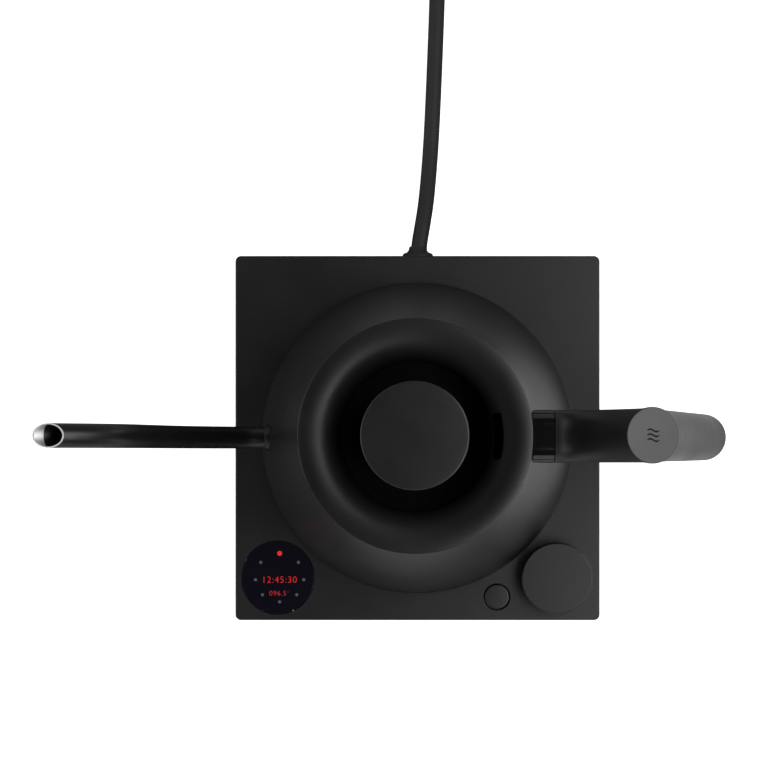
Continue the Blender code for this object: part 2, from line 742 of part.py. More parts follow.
def lid_liner(parent):
    """Cup under the shell that goes into the mouth, with drip holes, and its seal."""
    low = LID_FLOOR - GAP
    wall, top = 43.6, LID_TOP - 2.6
    outline = [
        (3.2, low), (wall - 1, low), (wall - 1, top), (wall, top),
        (wall, low - 1), (wall - 1, low - 1.2), (3.2, low - 1.2),
    ]
    liner = add("lid_liner", lathe(outline, ROUND_LARGE), bare_steel(), parent)
    for i in range(4):
        a = math.radians(45 + 90 * i)
        cut(liner, rod(2.5, low - 3, low + 1, 10, (38 * math.cos(a), 38 * math.sin(a))))
    seal = lathe(
        [(43.9, 133.4), (44.5, 133.4), (44.9, 134.4), (44.9, 136.4), (44.5, 137.4), (43.9, 137.4)]
    )
    add("lid_seal", seal, soft_rubber(), parent)


def lid_knob(parent):
    """Hollow round knob on a centre boss, held by a screw from under the lid."""
    low = LID_FLOOR + STEEL + GAP
    inside = KNOB_RADIUS - 2.5
    shoulder = KNOB_TOP - KNOB_CROWN
    outline = [
        (2.0, low), (5, low), (5, KNOB_TOP - 2.5), (inside, KNOB_TOP - 2.5),
        (inside, KNOB_SKIRT_Z), (KNOB_RADIUS, KNOB_SKIRT_Z), (KNOB_RADIUS, shoulder - 0.5),
        (KNOB_RADIUS - 0.5, shoulder), (KNOB_RADIUS / 2, KNOB_TOP - KNOB_CROWN / 4),
        (0, KNOB_TOP), (0, low + 16), (2.0, low + 16),
    ]
    add("lid_knob", axis_lathe(outline, ROUND), black_plastic(), parent)
    screw = screw_mesh(4.5, 1.5, 1.7, 17)
    add("knob_screw", screw, bare_steel(), parent, (0, 0, LID_FLOOR - GAP - 1.2 - GAP - 1.5))


# ---------------------------------------------------------------- cord

def cord_gland(parent):
    """Round grommet through the back wall, with a lip outside and a flange inside."""
    wall = BASE_SIDE / 2
    face = GLAND_FACE
    outline = [
        (0, wall - 6), (7, wall - 6), (7, wall - BASE_WALL - GAP), (5.2, wall - BASE_WALL - GAP),
        (5.2, wall + GAP), (GLAND_RADIUS, wall + GAP), (GLAND_RADIUS, face - 1.2),
        (GLAND_RADIUS - 1.2, face), (0, face),
    ]
    gland = lying(lathe(outline, 24), (0, 1, 0))
    add("cord_gland", gland, soft_rubber(), parent, (0, 0, GLAND_Z))


def cord():
    """Lead from the gland to the coil, the coil's outer shape and the tail to the plug."""
    tube("cord", smooth_path(CORD_ROUTE, 2), CORD_RADIUS, soft_rubber(), None, 3)
    wide = CORD_RADIUS + 0.2
    high = COIL_PITCH * COIL_TURNS + 2 * CORD_RADIUS + 0.3
    ring = lathe(
        [
            (COIL_RADIUS - wide, 0), (COIL_RADIUS + wide, 0), (COIL_RADIUS + wide, high),
            (COIL_RADIUS - wide, high),
        ]
    )
    add("cord_coil", ring, soft_rubber(), None, (COIL_X, COIL_Y, 0))
    top = CORD_RADIUS + COIL_PITCH * COIL_TURNS
    y = COIL_Y + COIL_RADIUS
    tail = ((-25.5, top - 4.2), (-32, top - 6.3), (-39, top - 7.6), (0.3 - PLUG_GAP_X, PLUG_Z))
    points = smooth_path([(COIL_X + x, y, z) for x, z in tail], 2)
    tube("cord_tail", points, CORD_RADIUS, soft_rubber(), None, 3)


def plug():
    """Three-pin plug on its side, with its pins pointing along -X."""
    y = COIL_Y + COIL_RADIUS
    mesh = bmesh.new()
    sections = (
        (0, 5.5, 5.5, 2), (8, 6.5, 6.5, 2), (13, 11, 10, 3), (18, 13.5, 12.5, 4),
        (PLUG_LENGTH, 13.5, 12.5, 4),
    )
    rings = [
        ring_in_xz(mesh, (-x, 0), (-1, 0), half_width, half_height, power, 24)
        for x, half_width, half_height, power in sections
    ]
    bridge(mesh, rings)
    mesh.faces.new(rings[0])
    mesh.faces.new(rings[-1])
    entry = COIL_X - PLUG_GAP_X
    add("plug_body", mesh, soft_rubber(), None, (entry, y, PLUG_Z))
    back = entry - PLUG_LENGTH - GAP
    for number, offset in enumerate((-6.35, 6.35), 1):
        blade = slab(16, 1.5, 0, 6.3)
        place = (back - 8, y + offset, PLUG_Z + 0.5)
        add(f"plug_blade_{number}", blade, brass(), None, place)
    pin = lying(rod(2.4, 0, 19, 12, edge=1.0), (-1, 0, 0))
    add("plug_ground_pin", pin, brass(), None, (back, y, PLUG_Z - 7))


def build():
    clear_scene()
    base = axis_empty("base_axis", AXIS_X, 0)
    kettle = axis_empty("kettle_axis", AXIS_X, 0)
    dial_axis = axis_empty("dial_axis", AXIS_X + DIAL_AT[0], DIAL_AT[1])
    button_axis = axis_empty("button_axis", AXIS_X + BUTTON_AT[0], BUTTON_AT[1])
    for make in (base_cover, base_bottom, feet, base_screws, base_connector, base_contact,
                 display, control_board, power_board, cord_gland):
        make(base)
    dial(dial_axis)
    button(button_axis)
    for make in (kettle_socket, kettle_body, heater, bottom_cover, spout, neck, handle,
                 lid_shell, lid_liner, lid_knob):
        make(kettle)
    cord()
    plug()


build()
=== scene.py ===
"""Looks of the gooseneck electric kettle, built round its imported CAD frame.

Lengths are millimetres in the frame's own axes, and become metres in the meshes.
"""

import math

import bmesh
import bpy
from mathutils import Matrix, Vector


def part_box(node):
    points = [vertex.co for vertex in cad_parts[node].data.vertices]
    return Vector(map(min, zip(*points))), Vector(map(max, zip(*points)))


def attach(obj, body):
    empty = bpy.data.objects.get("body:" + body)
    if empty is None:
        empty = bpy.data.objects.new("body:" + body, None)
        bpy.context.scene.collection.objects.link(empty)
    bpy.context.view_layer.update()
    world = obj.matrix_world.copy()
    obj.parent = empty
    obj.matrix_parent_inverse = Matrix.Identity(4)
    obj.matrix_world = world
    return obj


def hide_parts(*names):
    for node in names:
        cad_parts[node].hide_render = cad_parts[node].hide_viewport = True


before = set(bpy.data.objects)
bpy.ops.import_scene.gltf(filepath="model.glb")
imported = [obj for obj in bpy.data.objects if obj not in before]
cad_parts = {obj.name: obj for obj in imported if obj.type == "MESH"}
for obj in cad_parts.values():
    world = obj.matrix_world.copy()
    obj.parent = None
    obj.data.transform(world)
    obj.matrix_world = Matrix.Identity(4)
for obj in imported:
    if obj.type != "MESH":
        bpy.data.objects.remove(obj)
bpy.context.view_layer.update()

MM = 0.001
SMOOTH_ANGLE = math.radians(32)
FINE = 160
ROUND = 72


def node_box(name):
    """Lowest and highest corner of a CAD node, in millimetres."""
    low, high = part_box(name)
    return low / MM, high / MM


def axis_of(name):
    """X and Y of the upright axis through the middle of a CAD node, in millimetres."""
    low, high = node_box(name)
    return (low.x + high.x) / 2, (low.y + high.y) / 2


def radius_of(name):
    """Half of a CAD node's size along X, in millimetres."""
    low, high = node_box(name)
    return (high.x - low.x) / 2


# ---- sizes read from the frame

BODY_LOW, BODY_HIGH = node_box("kettle_body")
KETTLE = axis_of("kettle_body")
BODY_RADIUS = radius_of("kettle_body")
BODY_BOTTOM = BODY_LOW.z
RIM_Z = BODY_HIGH.z
COVER_LOW, COVER_HIGH = node_box("base_cover")
BASE_TOP = COVER_HIGH.z
BASE_HALF = radius_of("base_cover")
LID_TOP = node_box("lid_shell")[1].z
LID_RADIUS = radius_of("lid_shell")
KNOB_RADIUS = radius_of("lid_knob")
COIL_LOW, COIL_HIGH = node_box("cord_coil")

# What the boxes don't give, measured from the kettle's own axis
BODY_EDGE_Z = BODY_BOTTOM + 4.7
RIM_RADIUS = 48.5
MOUTH_RADIUS = 45.1
MOUTH_DEPTH = 7.0
BODY_OPENING = 66.2
STEEL = 1.2
BODY_SLOPE = (BODY_RADIUS - RIM_RADIUS) / (RIM_Z - 0.5 - BODY_EDGE_Z)
FLOOR_Z = 46.0
SCREW_CIRCLE = 54.0
LID_CREST_RADIUS = 45.4
LID_SWEEP = (13.4, 9.4)
LID_FLOOR = 108.0
LID_HOLE = 3.2
KNOB_SKIRT_Z = 127.0
KNOB_CROWN = 0.5
BUTTON_CROWN = 0.12
HANDLE_VOXEL = 0.7
GLAND_Z = 14.0
DOT_RING = 11.3
DOT_ANGLES = (0, 51, 95, 135, 180, 225, 265, 309)
DISPLAY_ROWS = (("12:45:30", 3.0, 1.1), ("096.5\u00b0", 2.3, 7.4))
VENT = (33.0, 36.6, math.radians(16))
VENT_CORNER = 1.2
SPOUT_RADIUS = 5.0
SPOUT_BORE = 4.45
SPOUT_STEPS = 8
SPOUT_ROOT_Z = 54.0
SPOUT_ROUTE = (
    (-62, 54), (-70, 54), (-78, 56), (-86, 62), (-94, 71), (-101, 82), (-107, 97), (-112, 116),
    (-117, 135), (-123, 149), (-130, 157.8), (-137, 164.1), (-146.2, 170.6), (-156, 177.2),
)
TIP_CENTRE = (-146.2, 170.6)
TIP_TILT = math.radians(13)
NECK_END = 57.9
NECK_POWER = 2.7
ARM_Z = 128.0
ARM_HALF = (11.1, 9.0)
HANDLE_SCREW_X = NECK_END + 9
CAP_CENTRE = (94.0, 182.0)
CAP_TILT = math.radians(18)
CAP_RADIUS = 11.2
CAP_THICKNESS = 2.0
GRIP_FOOT = (128.7, 69.4)
GRIP_HEAD = (96.9, 165.0)
GRIP_RADIUS = 10.4
GRIP_END = 2.8
ARM_CURVE = ((NECK_END + 0.3, ARM_Z), (76.0, ARM_Z), (85.7, 156.3), (93.1, 179.1))

# ---- cord, from the gland to the plug

CORD_RADIUS = 3.75
CORD_ROUTE = (
    (8.0, 88.2, 14.0), (8.1, 91.5, 14.0), (9.6, 101, 12.8), (11.1, 111, 10.0), (12.1, 121, 7.0),
    (12.9, 131, 4.9), (13.6, 141, 3.95), (14.2, 152, 3.8), (15.1, 172, 3.8), (15.9, 192, 3.8),
    (16.6, 212, 3.8), (17.0, 230.5, 3.8),
)
COIL_CENTRE = (COIL_LOW + COIL_HIGH) / 2
COIL_RADIUS = radius_of("cord_coil") - CORD_RADIUS - 0.2
COIL_TURNS = 2.25
COIL_STEPS = 24
TIE_LIFT = 0.9
TIE_TURN = 0.4
CLIMB_START = 0.62
TAIL_DROPS = ((-25.5, 16.65), (-32.0, 14.55), (-39.0, 13.3), (-45.7, 13.0), (-50.0, 13.0))


def smooth_step(value):
    value = min(1.0, max(0.0, value))
    return value * value * (3 - 2 * value)


def smooth_path(route, per_span):
    """Points along a centripetal Catmull-Rom curve through every point of the route."""
    points = [Vector(p) for p in route]
    points = [2 * points[0] - points[1], *points, 2 * points[-1] - points[-2]]
    path = []
    for a, b, c, d in zip(points, points[1:], points[2:], points[3:]):
        t1 = (b - a).length ** 0.5
        t2 = t1 + (c - b).length ** 0.5
        t3 = t2 + (d - c).length ** 0.5
        for i in range(per_span):
            t = t1 + (t2 - t1) * i / per_span
            ab = a.lerp(b, t / t1)
            bc = b.lerp(c, (t - t1) / (t2 - t1))
            cd = c.lerp(d, (t - t2) / (t3 - t2))
            early, late = ab.lerp(bc, t / t2), bc.lerp(cd, (t - t1) / (t3 - t1))
            path.append(early.lerp(late, (t - t1) / (t2 - t1)))
    path.append(points[-2])
    return path


def coil_height(turns):
    """Centreline height along the coil: each turn lies flat, then climbs onto itself."""
    whole = math.floor(turns)
    climb = smooth_step((turns - whole - CLIMB_START) / (0.97 - CLIMB_START))
    lift = TIE_LIFT * smooth_step(turns / 0.2)
    return CORD_RADIUS + 0.05 + lift + (2 * CORD_RADIUS + 0.05) * (whole + climb)


def cord_points():
    """The lead's whole centreline: the straight run, the coil and the short tail to the plug."""
    route = [Vector(p) for p in CORD_ROUTE]
    steps = round(COIL_TURNS * COIL_STEPS)
    for i in range(steps + 1):
        turns = COIL_TURNS * i / steps
        angle = math.tau * turns
        x = COIL_CENTRE.x + COIL_RADIUS * math.cos(angle)
        y = COIL_CENTRE.y + COIL_RADIUS * math.sin(angle)
        route.append(Vector((x, y, coil_height(turns))))
    y = COIL_CENTRE.y + COIL_RADIUS
    route += [Vector((COIL_CENTRE.x + x, y, z)) for x, z in TAIL_DROPS]
    return smooth_path(route, 3)


# ---- mesh helpers, in millimetres

def arc(centre, radius, start, end, steps):
    """Points along an arc in a flat outline, with angles in degrees."""
    angles = [math.radians(start + (end - start) * i / steps) for i in range(steps + 1)]
    return [(centre[0] + radius * math.cos(a), centre[1] + radius * math.sin(a)) for a in angles]


def rounded(corners, steps=5):
    """A closed outline in which a corner given as (x, y, radius) becomes an arc."""
    points = []
    for i, corner in enumerate(corners):
        here = Vector(corner[:2])
        if len(corner) == 2:
            points.append(tuple(here))
            continue
        before = (Vector(corners[i - 1][:2]) - here).normalized()
        after = (Vector(corners[(i + 1) % len(corners)][:2]) - here).normalized()
        half = before.angle(after) / 2
        centre = here + (before + after).normalized() * corner[2] / math.sin(half)
        start = here + before * corner[2] / math.tan(half) - centre
        end = here + after * corner[2] / math.tan(half) - centre
        turn = math.copysign(math.pi - 2 * half, start.x * end.y - start.y * end.x)
        for k in range(steps + 1):
            points.append(tuple(centre + Matrix.Rotation(turn * k / steps, 2) @ start))
    return points


def lathe(outline, segments=ROUND, second=range(0)):
    """Spins a closed outline of (radius, z) about Z. Spans listed in second get finish 1."""
    mesh = bmesh.new()
    rings = []
    for radius, z in outline:
        if radius < 1e-6:
            rings.append([mesh.verts.new((0, 0, z))])
            continue
        turns = [math.tau * i / segments for i in range(segments)]
        rings.append([
            mesh.verts.new((radius * math.cos(a), radius * math.sin(a), z)) for a in turns
        ])
    for number, (low, high) in enumerate(zip(rings, rings[1:] + rings[:1])):
        if len(low) == 1 and len(high) == 1:
            continue
        for i in range(segments):
            j = (i + 1) % segments
            corners = [low[i % len(low)], low[j % len(low)], high[j % len(high)], high[i % len(high)]]
            face = mesh.faces.new(list(dict.fromkeys(corners)))
            face.material_index = int(number in second)
    return mesh


def moved(mesh, x=0.0, y=0.0, z=0.0):
    bmesh.ops.translate(mesh, verts=mesh.verts, vec=(x, y, z))
    return mesh


def turned(mesh, angle, axis):
    bmesh.ops.rotate(mesh, verts=mesh.verts, matrix=Matrix.Rotation(angle, 3, axis))
    return mesh


def lying(mesh, direction):
    """Turns an upright mesh so that its +Z runs along direction."""
    turn = Vector((0, 0, 1)).rotation_difference(Vector(direction)).to_matrix()
    bmesh.ops.rotate(mesh, verts=mesh.verts, matrix=turn)
    return mesh


def rod(radius, low, high):
    """An upright cylinder."""
    return lathe([(0, low), (radius, low), (radius, high), (0, high)])


def flared_hole(radius, low, high, flare):
    """A cutter for a hole whose rim at z = high is rounded over by flare."""
    rim = arc((radius + flare, high - flare), flare, 180, 90, 4)
    return lathe([(0, low), (radius, low), *rim, (radius + flare, high + 1), (0, high + 1)])


def superellipse(half_width, half_height, power, sides):
    points = []
    for i in range(sides):
        a = math.tau * (i + 0.5) / sides
        x = math.copysign(abs(math.cos(a)) ** (2 / power), math.cos(a)) * half_width
        y = math.copysign(abs(math.sin(a)) ** (2 / power), math.sin(a)) * half_height
        points.append((x, y))
    return points


def ring_in_xz(mesh, centre, direction, outline):
    """Vertices of an outline of (y, out), square to a direction in the XZ plane."""
    along = Vector(direction).normalized()
    normal = Vector((-along.y, along.x))
    ring = []
    for across, out in outline:
        ring.append(mesh.verts.new((centre[0] + normal.x * out, across, centre[1] + normal.y * out)))
    return ring


def flat_ring(mesh, outline, z):
    return [mesh.verts.new((x, y, z)) for x, y in outline]


def bridge(mesh, rings, loop=False, second=range(0)):
    """Joins neighbouring rings of vertices. Spans listed in second get finish 1."""
    pairs = zip(rings, rings[1:] + rings[:1]) if loop else zip(rings, rings[1:])
    for number, (ring, following) in enumerate(pairs):
        for i, vertex in enumerate(ring):
            j = (i + 1) % len(ring)
            face = mesh.faces.new((vertex, ring[j], following[j], following[i]))
            face.material_index = int(number in second)


def solid_of(rings_wanted):
    """Closes a stack of rings, made by rings_wanted(mesh), with a face at each end."""
    mesh = bmesh.new()
    rings = rings_wanted(mesh)
    bridge(mesh, rings)
    mesh.faces.new(rings[0])
    mesh.faces.new(rings[-1])
    return mesh


def around(count, radius, first):
    """Points spaced evenly on a circle, the first at an angle in degrees."""
    turns = [math.radians(first + 360 * i / count) for i in range(count)]
    return [(radius * math.cos(a), radius * math.sin(a)) for a in turns]


def block(low, high):
    mesh = bmesh.new()
    bmesh.ops.create_cube(mesh, size=1.0)
    bmesh.ops.scale(mesh, verts=mesh.verts, vec=Vector(high) - Vector(low))
    return moved(mesh, *((Vector(low) + Vector(high)) / 2))


def link_new(name, data):
    item = bpy.data.objects.new(name, data)
    bpy.context.scene.collection.objects.link(item)
    return item


def mesh_data(name, mesh):
    """Turns a bmesh into a mesh that an object can hold."""
    data = bpy.data.meshes.new(name)
    mesh.to_mesh(data)
    mesh.free()
    return data


def scratch_object(mesh):
    bmesh.ops.recalc_face_normals(mesh, faces=mesh.faces)
    return link_new("scratch", mesh_data("scratch", mesh))


def evaluated(item, *others):
    """The bmesh that an object's modifiers give. The objects are removed."""
    bpy.context.view_layer.update()
    graph = bpy.context.evaluated_depsgraph_get()
    data = bpy.data.meshes.new_from_object(item.evaluated_get(graph))
    mesh = bmesh.new()
    mesh.from_mesh(data)
    bpy.data.meshes.remove(data)
    for used in (item, *others):
        bpy.data.objects.remove(used, do_unlink=True)
    return mesh


def combined(mesh, other, operation):
    item, tool = scratch_object(mesh), scratch_object(other)
    modifier = item.modifiers.new("combine", "BOOLEAN")
    modifier.operation = operation
    modifier.object = tool
    return evaluated(item, tool)


def cut(mesh, *cutters):
    for cutter in cutters:
        mesh = combined(mesh, cutter, "DIFFERENCE")
    return mesh


def place(name, mesh, finishes, body, *nodes, slot=None):
    """Makes a piece that rides on a body and stands for CAD nodes, with its finishes as its materials in
    order.
    """
    bmesh.ops.recalc_face_normals(mesh, faces=mesh.faces)
    bmesh.ops.scale(mesh, verts=mesh.verts, vec=(MM, MM, MM))
    data = mesh_data(name, mesh)
    data.shade_smooth()
    data.set_sharp_from_angle(angle=SMOOTH_ANGLE)
    names = finishes.split()
    for finish in names:
        data.materials.append(FINISHES[finish])
    piece = link_new(name, data)
    flat = piece.modifiers.new("flat faces stay flat", "WEIGHTED_NORMAL")
    flat.keep_sharp = True
    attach(piece, body)
    if nodes:
        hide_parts(*nodes)


# ---- finishes

# Scale at which a wave texture repeats once in each unit of length
WAVE_SCALE = 0.314


class Finish:
    """A material made of nodes on the surface's own coordinates, with sizes in millimetres."""

    def __init__(self, name, color, roughness, metallic=0.0, **fixed):
        self.material = bpy.data.materials.new(name)
        self.material.use_nodes = True
        self.tree = self.material.node_tree
        self.shader = self.tree.nodes["Principled BSDF"]
        self.color = color
        self.roughness = roughness
        fixed.update(Base_Color=(*color, 1), Roughness=roughness, Metallic=metallic)
        for socket, value in fixed.items():
            self.shader.inputs[socket.replace("_", " ")].default_value = value
        self.place = self.node("ShaderNodeTexCoord").outputs["Object"]

    def node(self, kind, values=None, **settings):
        """A new node with its settings, and then the values of its inputs."""
        made = self.tree.nodes.new(kind)
        for setting, value in settings.items():
            setattr(made, setting, value)
        for socket, value in (values or {}).items():
            made.inputs[socket].default_value = value
        return made

    def laid_out(self, kind, values, **settings):
        """A node that reads the surface's own coordinates."""
        made = self.node(kind, values, **settings)
        self.link(self.place, made.inputs["Vector"])
        return made

    def link(self, source, target):
        self.tree.links.new(source, target)

    def noise(self, size, detail, stretch=(1, 1, 1)):
        """Noise from 0 to 1 whose grain is size across; stretch lengthens it along an axis."""
        scale = [1 / (size * MM * s) for s in stretch]
        mapping = self.laid_out("ShaderNodeMapping", {"Scale": scale})
        texture = self.node("ShaderNodeTexNoise", {"Scale": 1.0, "Detail": detail})
        self.link(mapping.outputs["Vector"], texture.inputs["Vector"])
        return texture.outputs["Fac"]

    def spread(self, value, low=0, high=1, start=0.3, end=0.7):
        """Maps a 0 to 1 pattern to run from low to high."""
        ramp = self.node("ShaderNodeMapRange", {
            "From Min": start, "From Max": end, "To Min": low, "To Max": high,
        })
        self.link(value, ramp.inputs["Value"])
        return ramp.outputs["Result"]

    def mixed(self, value, low, high):
        mix = self.node("ShaderNodeMix", {"A": (*low, 1), "B": (*high, 1)}, data_type="RGBA")
        self.link(value, mix.inputs["Factor"])
        return mix.outputs["Result"]

    def tint(self, value, amount):
        """Colour that varies about the finish's own by amount, as a share."""
        low = [c * (1 - amount) for c in self.color]
        high = [c * (1 + amount) for c in self.color]
        self.link(self.mixed(value, low, high), self.shader.inputs["Base Color"])

    def haze(self, value, amount):
        """Roughness that varies about the finish's own by amount."""
        low, high = self.roughness - amount, self.roughness + amount
        self.link(self.spread(value, low, high), self.shader.inputs["Roughness"])

    def relief(self, *layers):
        """Bump made of (pattern, height in millimetres) layers, one on the other."""
        before = None
        for value, height in layers:
            bump = self.node("ShaderNodeBump", {"Strength": 1.0, "Distance": height * MM})
            self.link(value, bump.inputs["Height"])
            if before:
                self.link(before, bump.inputs["Normal"])
            before = bump.outputs["Normal"]
        self.link(before, self.shader.inputs["Normal"])


def moulded(name, color, roughness, grain=0.35, depth=0.012, **fixed):
    """Moulded plastic: a fine spark-eroded grain, faint cloudiness and slightly uneven gloss."""
    finish = Finish(name, color, roughness, **fixed)
    finish.tint(finish.spread(finish.noise(14, 3)), 0.10)
    finish.haze(finish.noise(22, 3), 0.03)
    finish.relief((finish.noise(grain, 2), depth), (finish.noise(grain * 5, 2), depth))
    return finish.material


def powder_coat(name, color, roughness, **fixed):
    """Matt paint on steel: tiny rounded grains over a slow orange peel, and rare dust specks."""
    finish = Finish(name, color, roughness, **fixed)
    finish.tint(finish.spread(finish.noise(0.5, 1)), 0.14)
    finish.haze(finish.noise(30, 3), 0.03)
    finish.relief((finish.noise(0.4, 2), 0.010), (finish.noise(3.0, 2), 0.012))
    return finish.material


def brushed_steel(name, color, roughness, stretch):
    """Bare metal with brush lines along stretch and a slow change in polish."""
    finish = Finish(name, color, roughness, 1.0)
    lines = finish.noise(0.12, 3, stretch)
    finish.tint(finish.spread(lines), 0.06)
    finish.haze(finish.noise(9, 2), 0.05)
    finish.relief((lines, 0.002))
    return finish.material


def turned_steel(name, color, roughness, pitch=0.35):
    """Spun sheet: fine rings about the kettle's axis."""
    finish = Finish(name, color, roughness, 1.0)
    axis = (-KETTLE[0] * MM, -KETTLE[1] * MM, 0)
    shift = finish.laid_out("ShaderNodeMapping", {"Location": axis})
    rings = finish.node("ShaderNodeTexWave", {
        "Scale": WAVE_SCALE / (pitch * MM), "Distortion": 1.2, "Detail": 2.0,
    }, wave_type="RINGS", rings_direction="Z")
    finish.link(shift.outputs["Vector"], rings.inputs["Vector"])
    finish.tint(finish.spread(finish.noise(20, 3)), 0.04)
    finish.haze(finish.noise(30, 2), 0.012)
    finish.relief((rings.outputs["Fac"], 0.001))
    return finish.material


def lit_segments(name, color, strength):
    """A display element that gives its own light, slightly uneven like a backlight."""
    finish = Finish(name, [c * 0.2 for c in color], 0.4, Emission_Strength=strength)
    glow = finish.mixed(
        finish.spread(finish.noise(1.2, 1)), [c * 0.85 for c in color], color
    )
    finish.link(glow, finish.shader.inputs["Emission Color"])
    return finish.material


def circuit_board(name):
    """Green solder mask over a grid of traces, with tinned pads."""
    finish = Finish(name, (0.01, 0.10, 0.045), 0.35)
    bricks = finish.laid_out("ShaderNodeTexBrick", {
        "Scale": 1 / (4.2 * MM), "Mortar Size": 0.06, "Color1": (0.010, 0.105, 0.048, 1),
        "Color2": (0.012, 0.085, 0.040, 1), "Mortar": (0.03, 0.20, 0.09, 1),
    })
    dots = finish.laid_out("ShaderNodeTexVoronoi", {"Scale": 1 / (3.1 * MM)})
    pads = finish.spread(dots.outputs["Distance"], 1, 0, 0.16, 0.2)
    mix = finish.node("ShaderNodeMix", {"B": (0.62, 0.60, 0.52, 1)}, data_type="RGBA")
    finish.link(pads, mix.inputs["Factor"])
    finish.link(bricks.outputs["Color"], mix.inputs["A"])
    finish.link(mix.outputs["Result"], finish.shader.inputs["Base Color"])
    finish.relief((bricks.outputs["Fac"], 0.03), (pads, 0.05))
    return finish.material


def wound_wrap(name, color):
    """Tape wound round a coil former: level bands with a soft sheen."""
    finish = Finish(name, color, 0.38)
    bands = finish.laid_out("ShaderNodeTexWave", {
        "Scale": WAVE_SCALE / (2.5 * MM), "Distortion": 0.4,
    }, bands_direction="Z")
    finish.tint(bands.outputs["Fac"], 0.2)
    finish.relief((bands.outputs["Fac"], 0.05))
    return finish.material


def hook_fabric(name, color):
    """Woven strap with a short nap."""
    finish = Finish(name, color, 0.9, Sheen_Weight=0.4)
    weave = finish.laid_out("ShaderNodeTexChecker", {
        "Scale": 1 / (0.6 * MM), "Color1": (*[c * 1.4 for c in color], 1),
        "Color2": (*[c * 0.7 for c in color], 1),
    })
    finish.link(weave.outputs["Color"], finish.shader.inputs["Base Color"])
    finish.relief((weave.outputs["Fac"], 0.06), (finish.noise(0.3, 2), 0.05))
    return finish.material


BLACK = (0.0042, 0.0042, 0.0043)
FINISHES = {
    # Near-black paint with little sheen, put on the lid's recess floor and lower wall and on the liner's
    # top seen through the slot. It is painted shade: it darkens where the knob and the deep well keep
    # the light out.
    "thin_coat": powder_coat("thin_coat", (0.002, 0.002, 0.002), 0.7, Specular_IOR_Level=0.12),
    "coated": powder_coat("coated_steel", BLACK, 0.39),
    "cover": moulded("base_plastic", BLACK, 0.44),
    "plastic": moulded("black_plastic", BLACK, 0.50),
    "grip": moulded("grip_plastic", (0.0055, 0.0055, 0.0056), 0.40, 0.3, 0.010),
    "gloss": moulded("gloss_black", (0.006, 0.006, 0.006), 0.10, 2.5, 0.002),
    "mark": moulded("mark_ink", (0.003, 0.003, 0.003), 0.7, Specular_IOR_Level=0.08),
    "rubber": moulded("soft_rubber", (0.012, 0.012, 0.012), 0.66, 0.5, 0.02),
    "jacket": moulded("cord_jacket", (0.010, 0.010, 0.0104), 0.66, 0.8, 0.012),
    "satin": brushed_steel("satin_steel", (0.68, 0.68, 0.68), 0.55, (1, 1, 1)),
    "steel": brushed_steel("bare_steel", (0.62, 0.61, 0.60), 0.26, (40, 40, 1)),
    "spun": turned_steel("spun_steel", (0.66, 0.66, 0.65), 0.36),
    "aluminium": turned_steel("aluminium", (0.72, 0.72, 0.73), 0.38, 0.6),
    "brass": brushed_steel("brass", (0.74, 0.55, 0.27), 0.28, (12, 12, 1)),
    "glass": moulded("display_glass", (0.0035, 0.0035, 0.0062), 0.07, 3.0, 0.0005,
                     Emission_Color=(0.0042, 0.0036, 0.0064, 1), Emission_Strength=0.6),
    "board": circuit_board("circuit_board"),
    "amber": wound_wrap("amber_wrap", (0.50, 0.33, 0.05)),
    "blue": moulded("blue_plastic", (0.05, 0.13, 0.36), 0.42),
    "tie": hook_fabric("tie_fabric", (0.015, 0.015, 0.016)),
    "red_light": lit_segments("red_light", (0.85, 0.020, 0.022), 0.9),
    "dim_light": lit_segments("dim_light", (0.075, 0.075, 0.085), 0.9),
}

# CAD nodes whose own shape shows, each with the finish that it gets
KEPT_NODES = {
    "plastic": ("base_bottom", "display_module", "button_switch", "buzzer", "relay", "capacitor"),
    "board": ("control_board", "power_board"),
    "steel": ("dial_shaft", "encoder", "heating_element", "temperature_probe"),
    "brass": ("base_contact_ring", "socket_ring", "socket_pin"),
    "aluminium": ("heat_spreader",),
    "amber": ("transformer",),
    "blue": ("terminal_block",),
}


def finish_kept_nodes():
    for finish, names in KEPT_NODES.items():
        for name in names:
            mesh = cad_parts[name].data
            mesh.materials.clear()
            mesh.materials.append(FINISHES[finish])


# ---- base

def square_ring(half, corner, steps=8):
    """A square outline with round corners."""
    corner = max(corner, 0.05)
    points = []
    side = half - corner
    for a in (0, 90, 180, 270):
        x, y = math.cos(math.radians(a)), math.sin(math.radians(a))
        centre = (side * x - side * y, side * y + side * x)
        points += arc(centre, corner, a, a + 90, steps)
    return points


def base_cover():
    """The square shell: rounded edges outside, a plain hollow inside, and its four openings."""
    edge, corner, wall = 0.7, 2.6, 2.4
    profile = [(0.3, COVER_LOW.z), (0.0, COVER_LOW.z + 0.3)]
    profile += [(edge - r, z) for r, z in arc((0, BASE_TOP - edge), edge, 0, 90, 5)]
    ceiling = BASE_TOP - wall
    inside = [(wall, ceiling), (wall, COVER_LOW.z)]

    def rings(mesh):
        outer = [flat_ring(mesh, square_ring(BASE_HALF - i, corner - i), z) for i, z in profile]
        inner = [flat_ring(mesh, square_ring(BASE_HALF - i, corner - i), z) for i, z in inside]
        return inner + outer

    mesh = moved(solid_of(rings), *KETTLE)
    openings = (
        (axis_of("display_lens"), radius_of("display_lens") + 0.3),
        (axis_of("button"), 6.25),
        (axis_of("dial"), 5.0),
        (KETTLE, 14.3),
    )
    holes = [
        moved(flared_hole(radius, BASE_TOP - 4, BASE_TOP, 0.25), *at) for at, radius in openings
    ]
    gland_hole = lying(rod(5.5, 0, 10), (0, 1, 0))
    holes.append(moved(gland_hole, KETTLE[0], BASE_HALF - 6, GLAND_Z))
    place("base_shell", cut(mesh, *holes), "cover", "base", "base_cover")


